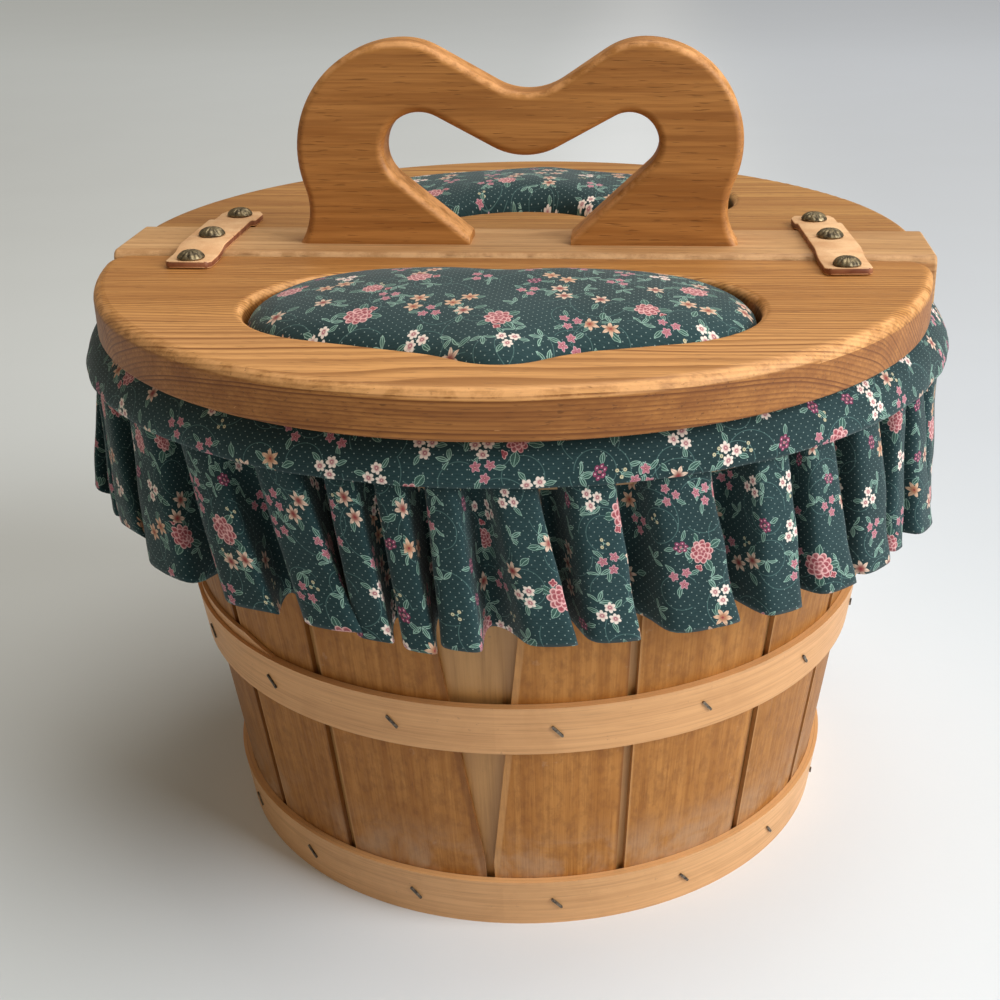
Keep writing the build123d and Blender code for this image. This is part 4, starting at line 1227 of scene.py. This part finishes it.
# Padded hearts: cloth drawn over wadding, blown up by simulation and held in the routed opening
padFit = {
    "voxel": 0.0045, "weld": 0.00001, "heldHeight": 0.009, "mostSink": 0.002, "mostRise": 0.010,
    "mostSpread": 0.0006, "notchFill": 0.0024, "notchY": 0.080, "notchWide": 0.032, "notchLong": 0.017,
    "smoothing": 4,
    "pressure": 3.3, "steps": 20, "quality": 6, "mass": 0.2, "stretch": 12, "bending": 0.4,
    "uvShift": {"front": (0.613, 0.402), "back": (1.371, 0.871)},
}


def placesOf(mesh):
    flat = np.empty(len(mesh.vertices) * 3, np.float32)
    mesh.vertices.foreach_get("co", flat)
    return flat.reshape(-1, 3)


def blowUp(piece, isHeld):
    fit = padFit
    held = piece.vertex_groups.new(name="held")
    held.add(np.flatnonzero(isHeld).tolist(), 1.0, "REPLACE")
    cloth = piece.modifiers.new("cloth", "CLOTH")
    settings = cloth.settings
    settings.quality, settings.mass = fit["quality"], fit["mass"]
    settings.tension_stiffness = settings.compression_stiffness = fit["stretch"]
    settings.bending_stiffness = fit["bending"]
    settings.use_pressure, settings.uniform_pressure_force = True, fit["pressure"]
    settings.effector_weights.gravity = 0.0
    settings.vertex_group_mass = "held"
    cloth.point_cache.frame_start, cloth.point_cache.frame_end = 1, fit["steps"]
    for step in range(1, fit["steps"] + 1):
        bpy.context.scene.frame_set(step)
    applyAll(piece)
    bpy.context.scene.frame_set(1)


def makePad(name, node, shift):
    fit = padFit
    piece = addPiece(name, nodes[node].data.copy())
    piece.data.materials.clear()
    pick(piece)
    openMesh()
    bpy.ops.mesh.remove_doubles(threshold=fit["weld"])
    closeMesh()
    addModifier(piece, "REMESH", mode="VOXEL", voxel_size=fit["voxel"])
    applyAll(piece)
    rest = placesOf(piece.data)
    isHeld = rest[:, 2] < rest[:, 2].min() + fit["heldHeight"]
    blowUp(piece, isHeld)
    move = placesOf(piece.data) - rest
    spread = np.linalg.norm(move[:, :2], axis=1, keepdims=True)
    move[:, :2] *= np.minimum(1.0, fit["mostSpread"] / np.maximum(spread, 1e-9))
    move[:, 2] = np.clip(move[:, 2], -fit["mostSink"], fit["mostRise"])
    # The wadding fills the heart's notch level with its lobes
    awayX = rest[:, 0] / fit["notchWide"]
    awayY = (np.abs(rest[:, 1]) - fit["notchY"]) / fit["notchLong"]
    move[:, 2] += fit["notchFill"] * np.exp(-awayX ** 2 - awayY ** 2)
    move[isHeld] = 0.0
    print(name, "rises by at most %.1f mm" % (1000 * move[:, 2].max()))
    piece.data.vertices.foreach_set("co", (rest + move).ravel())
    piece.data.update()
    addModifier(piece, "SMOOTH", factor=0.5, iterations=fit["smoothing"])
    addModifier(piece, "SUBSURF", levels=1, render_levels=1)
    applyAll(piece)
    piece.data.materials.append(floral)
    piece.data.shade_smooth()
    flatUv(piece, shift)
    return piece


for side, shift in padFit["uvShift"].items():
    pad = makePad(f"{side}PadCloth", f"{side}_pad", shift)
    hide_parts(f"{side}_pad")
    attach(pad, f"{side}_lid")
print("pads made")

# Straps, each in two halves that meet under the nail on the bar
strapFit = {
    "width": 0.020, "thickness": 0.0029, "lift": 0.0001, "curl": 0.0005, "curlLength": 0.003,
    "cutCorner": 0.87, "cutLength": 0.0008, "leastStep": 0.001, "bevel": 0.00045, "bevelAngle": 50,
    "smoothAngle": 40, "uprightBelow": 0.35, "bend": (0.021, 0.034),
    # Distance from the bar's middle line, and the underside's height over the lid
    "run": (
        (0.0, 0.0020), (0.007, 0.0020), (0.014, 0.0020), (0.019, 0.00205), (0.022, 0.0020), (0.025, 0.0015),
        (0.028, 0.0007), (0.031, 0.0002), (0.034, 0.00003), (0.038, 0.0),
    ),
    "left": {"x": -0.13896, "slant": 0.0, "front": 0.047, "back": 0.047, "nails": (-0.040, -0.007, 0.040)},
    "right": {
        "x": 0.13556, "slant": 4.5, "front": 0.0496, "back": 0.0444, "nails": (-0.0426, -0.0026, 0.0374),
    },
}


def strapPlace(side):
    place = Matrix.Translation((strapFit[side]["x"], 0.0, 0.0))
    return place @ Matrix.Rotation(math.radians(strapFit[side]["slant"]), 4, "Z")


def makeStrapHalf(side, body):
    # An upright section on the bar is pulled along the strap's run step by step
    fit = strapFit
    way = -1 if body == "front" else 1
    level = basket["lidTop"] + fit["lift"]
    start, end = fit[side]["nails"][1], fit[side][body]
    stops = [(start, np.interp(abs(start), *zip(*fit["run"])))]
    first = way * start + fit["leastStep"]
    stops += [(way * distance, rise) for distance, rise in fit["run"] if distance > first]
    stops += [(way * (end - fit["curlLength"]), 0.0), (way * (end - fit["cutLength"]), 0.5 * fit["curl"])]
    stops += [(way * end, fit["curl"])]
    deselectAll()
    bpy.ops.mesh.primitive_plane_add(
        size=1.0, rotation=(math.pi / 2, 0.0, 0.0),
        location=(0.0, start, level + stops[0][1] + fit["thickness"] / 2),
    )
    strap = bpy.context.object
    strap.name = f"{side}Strap{body.capitalize()}"
    strap.scale = (fit["width"], fit["thickness"], 1.0)
    bpy.ops.object.transform_apply(location=True, rotation=True, scale=True)
    openMesh()
    for (y0, z0), (y1, z1) in zip(stops, stops[1:]):
        extrude(0.0, y1 - y0, z1 - z0)
        # The last two steps narrow, for the cut corners
        if abs(y1) > end - fit["leastStep"]:
            bpy.ops.transform.resize(value=(fit["cutCorner"], 1.0, 1.0), center_override=(0.0, y1, level))
    closeMesh()
    addModifier(
        strap, "BEVEL", width=fit["bevel"], segments=2, limit_method="ANGLE",
        angle_limit=math.radians(fit["bevelAngle"]),
    )
    applyAll(strap)
    mesh = strap.data
    cut = mesh.attributes.new("cutEdge", "FLOAT", "CORNER")
    values = []
    for face in mesh.polygons:
        values += [float(abs(face.normal.z) < fit["uprightBelow"])] * len(face.loop_indices)
    cut.data.foreach_set("value", values)
    place = strapPlace(side)
    mesh.transform(place)
    pick(strap)
    bpy.ops.object.shade_smooth_by_angle(angle=math.radians(fit["smoothAngle"]))
    mesh.materials.append(leather)
    near, far = (place @ Vector((0.0, way * distance, level)) for distance in fit["bend"])
    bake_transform(strap)
    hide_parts(f"{side}_strap")


for side in ("left", "right"):
    for body in ("front", "back"):
        makeStrapHalf(side, body)

nailFit = {
    "radius": 0.0061, "height": 0.0036, "flutes": 12, "edgesPerFlute": 4,
    # Outline of the dome from its skirt up, as shares of the radius and the height
    "dome": ((1.0, 0.0), (0.985, 0.16), (0.93, 0.38), (0.80, 0.64), (0.62, 0.83), (0.40, 0.95), (0.18, 1.0)),
    "groove": 0.00042, "grooveFrom": 0.3, "grooveTo": 0.97, "grooveGrowth": 1.6,
    "seat": 0.0031, "barRise": 0.002, "spin": 0.4, "rightSpin": 0.2,
}


def makeNail():
    # A round skirt pulled up ring by ring into a dome, then a groove pressed between each pair of ridges
    fit = nailFit
    segments = fit["flutes"] * fit["edgesPerFlute"]
    deselectAll()
    bpy.ops.mesh.primitive_circle_add(vertices=segments, radius=fit["radius"], fill_type="NGON")
    nail = bpy.context.object
    nail.name = "domeNail"
    openMesh()
    for (r0, z0), (r1, z1) in zip(fit["dome"], fit["dome"][1:]):
        extrude(0, 0, (z1 - z0) * fit["height"])
        bpy.ops.transform.resize(value=(r1 / r0, r1 / r0, 1.0), center_override=(0, 0, z1 * fit["height"]))
    bpy.ops.mesh.poke()
    closeMesh()
    for vertex in nail.data.vertices:
        reach = math.hypot(vertex.co.x, vertex.co.y) / fit["radius"]
        edge = round(math.atan2(vertex.co.y, vertex.co.x) / fullTurn * segments)
        inGroove = edge % fit["edgesPerFlute"] == 0 and fit["grooveFrom"] < reach < fit["grooveTo"]
        if inGroove and vertex.co.z > 0:
            vertex.co -= vertex.normal * fit["groove"] * min(1.0, fit["grooveGrowth"] * reach)
    addModifier(nail, "SUBSURF", levels=1, render_levels=1)
    applyAll(nail)
    nail.data.shade_smooth()
    nail.data.materials.append(metals["brass"])
    return nail


nailStart = makeNail()
nailSeat = basket["lidTop"] + nailFit["seat"]
nailRows = (
    ("front", nailSeat, "front_lid"), ("bar", nailSeat + nailFit["barRise"], "basket"),
    ("back", nailSeat, "back_lid"),
)
for number, (row, seat, body) in enumerate(nailRows):
    for side in ("left", "right"):
        nail = addPiece(side + "Nail" + row.capitalize(), nailStart.data.copy())
        spin = nailFit["spin"] * number + (nailFit["rightSpin"] if side == "right" else 0.0)
        onStrap = Matrix.Translation((0, strapFit[side]["nails"][number], seat))
        nail.data.transform(strapPlace(side) @ onStrap @ Matrix.Rotation(spin, 4, "Z"))
        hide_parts(f"{row}_strap_nails")
        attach(nail, body)
bpy.data.objects.remove(nailStart)
print("straps and nails made")
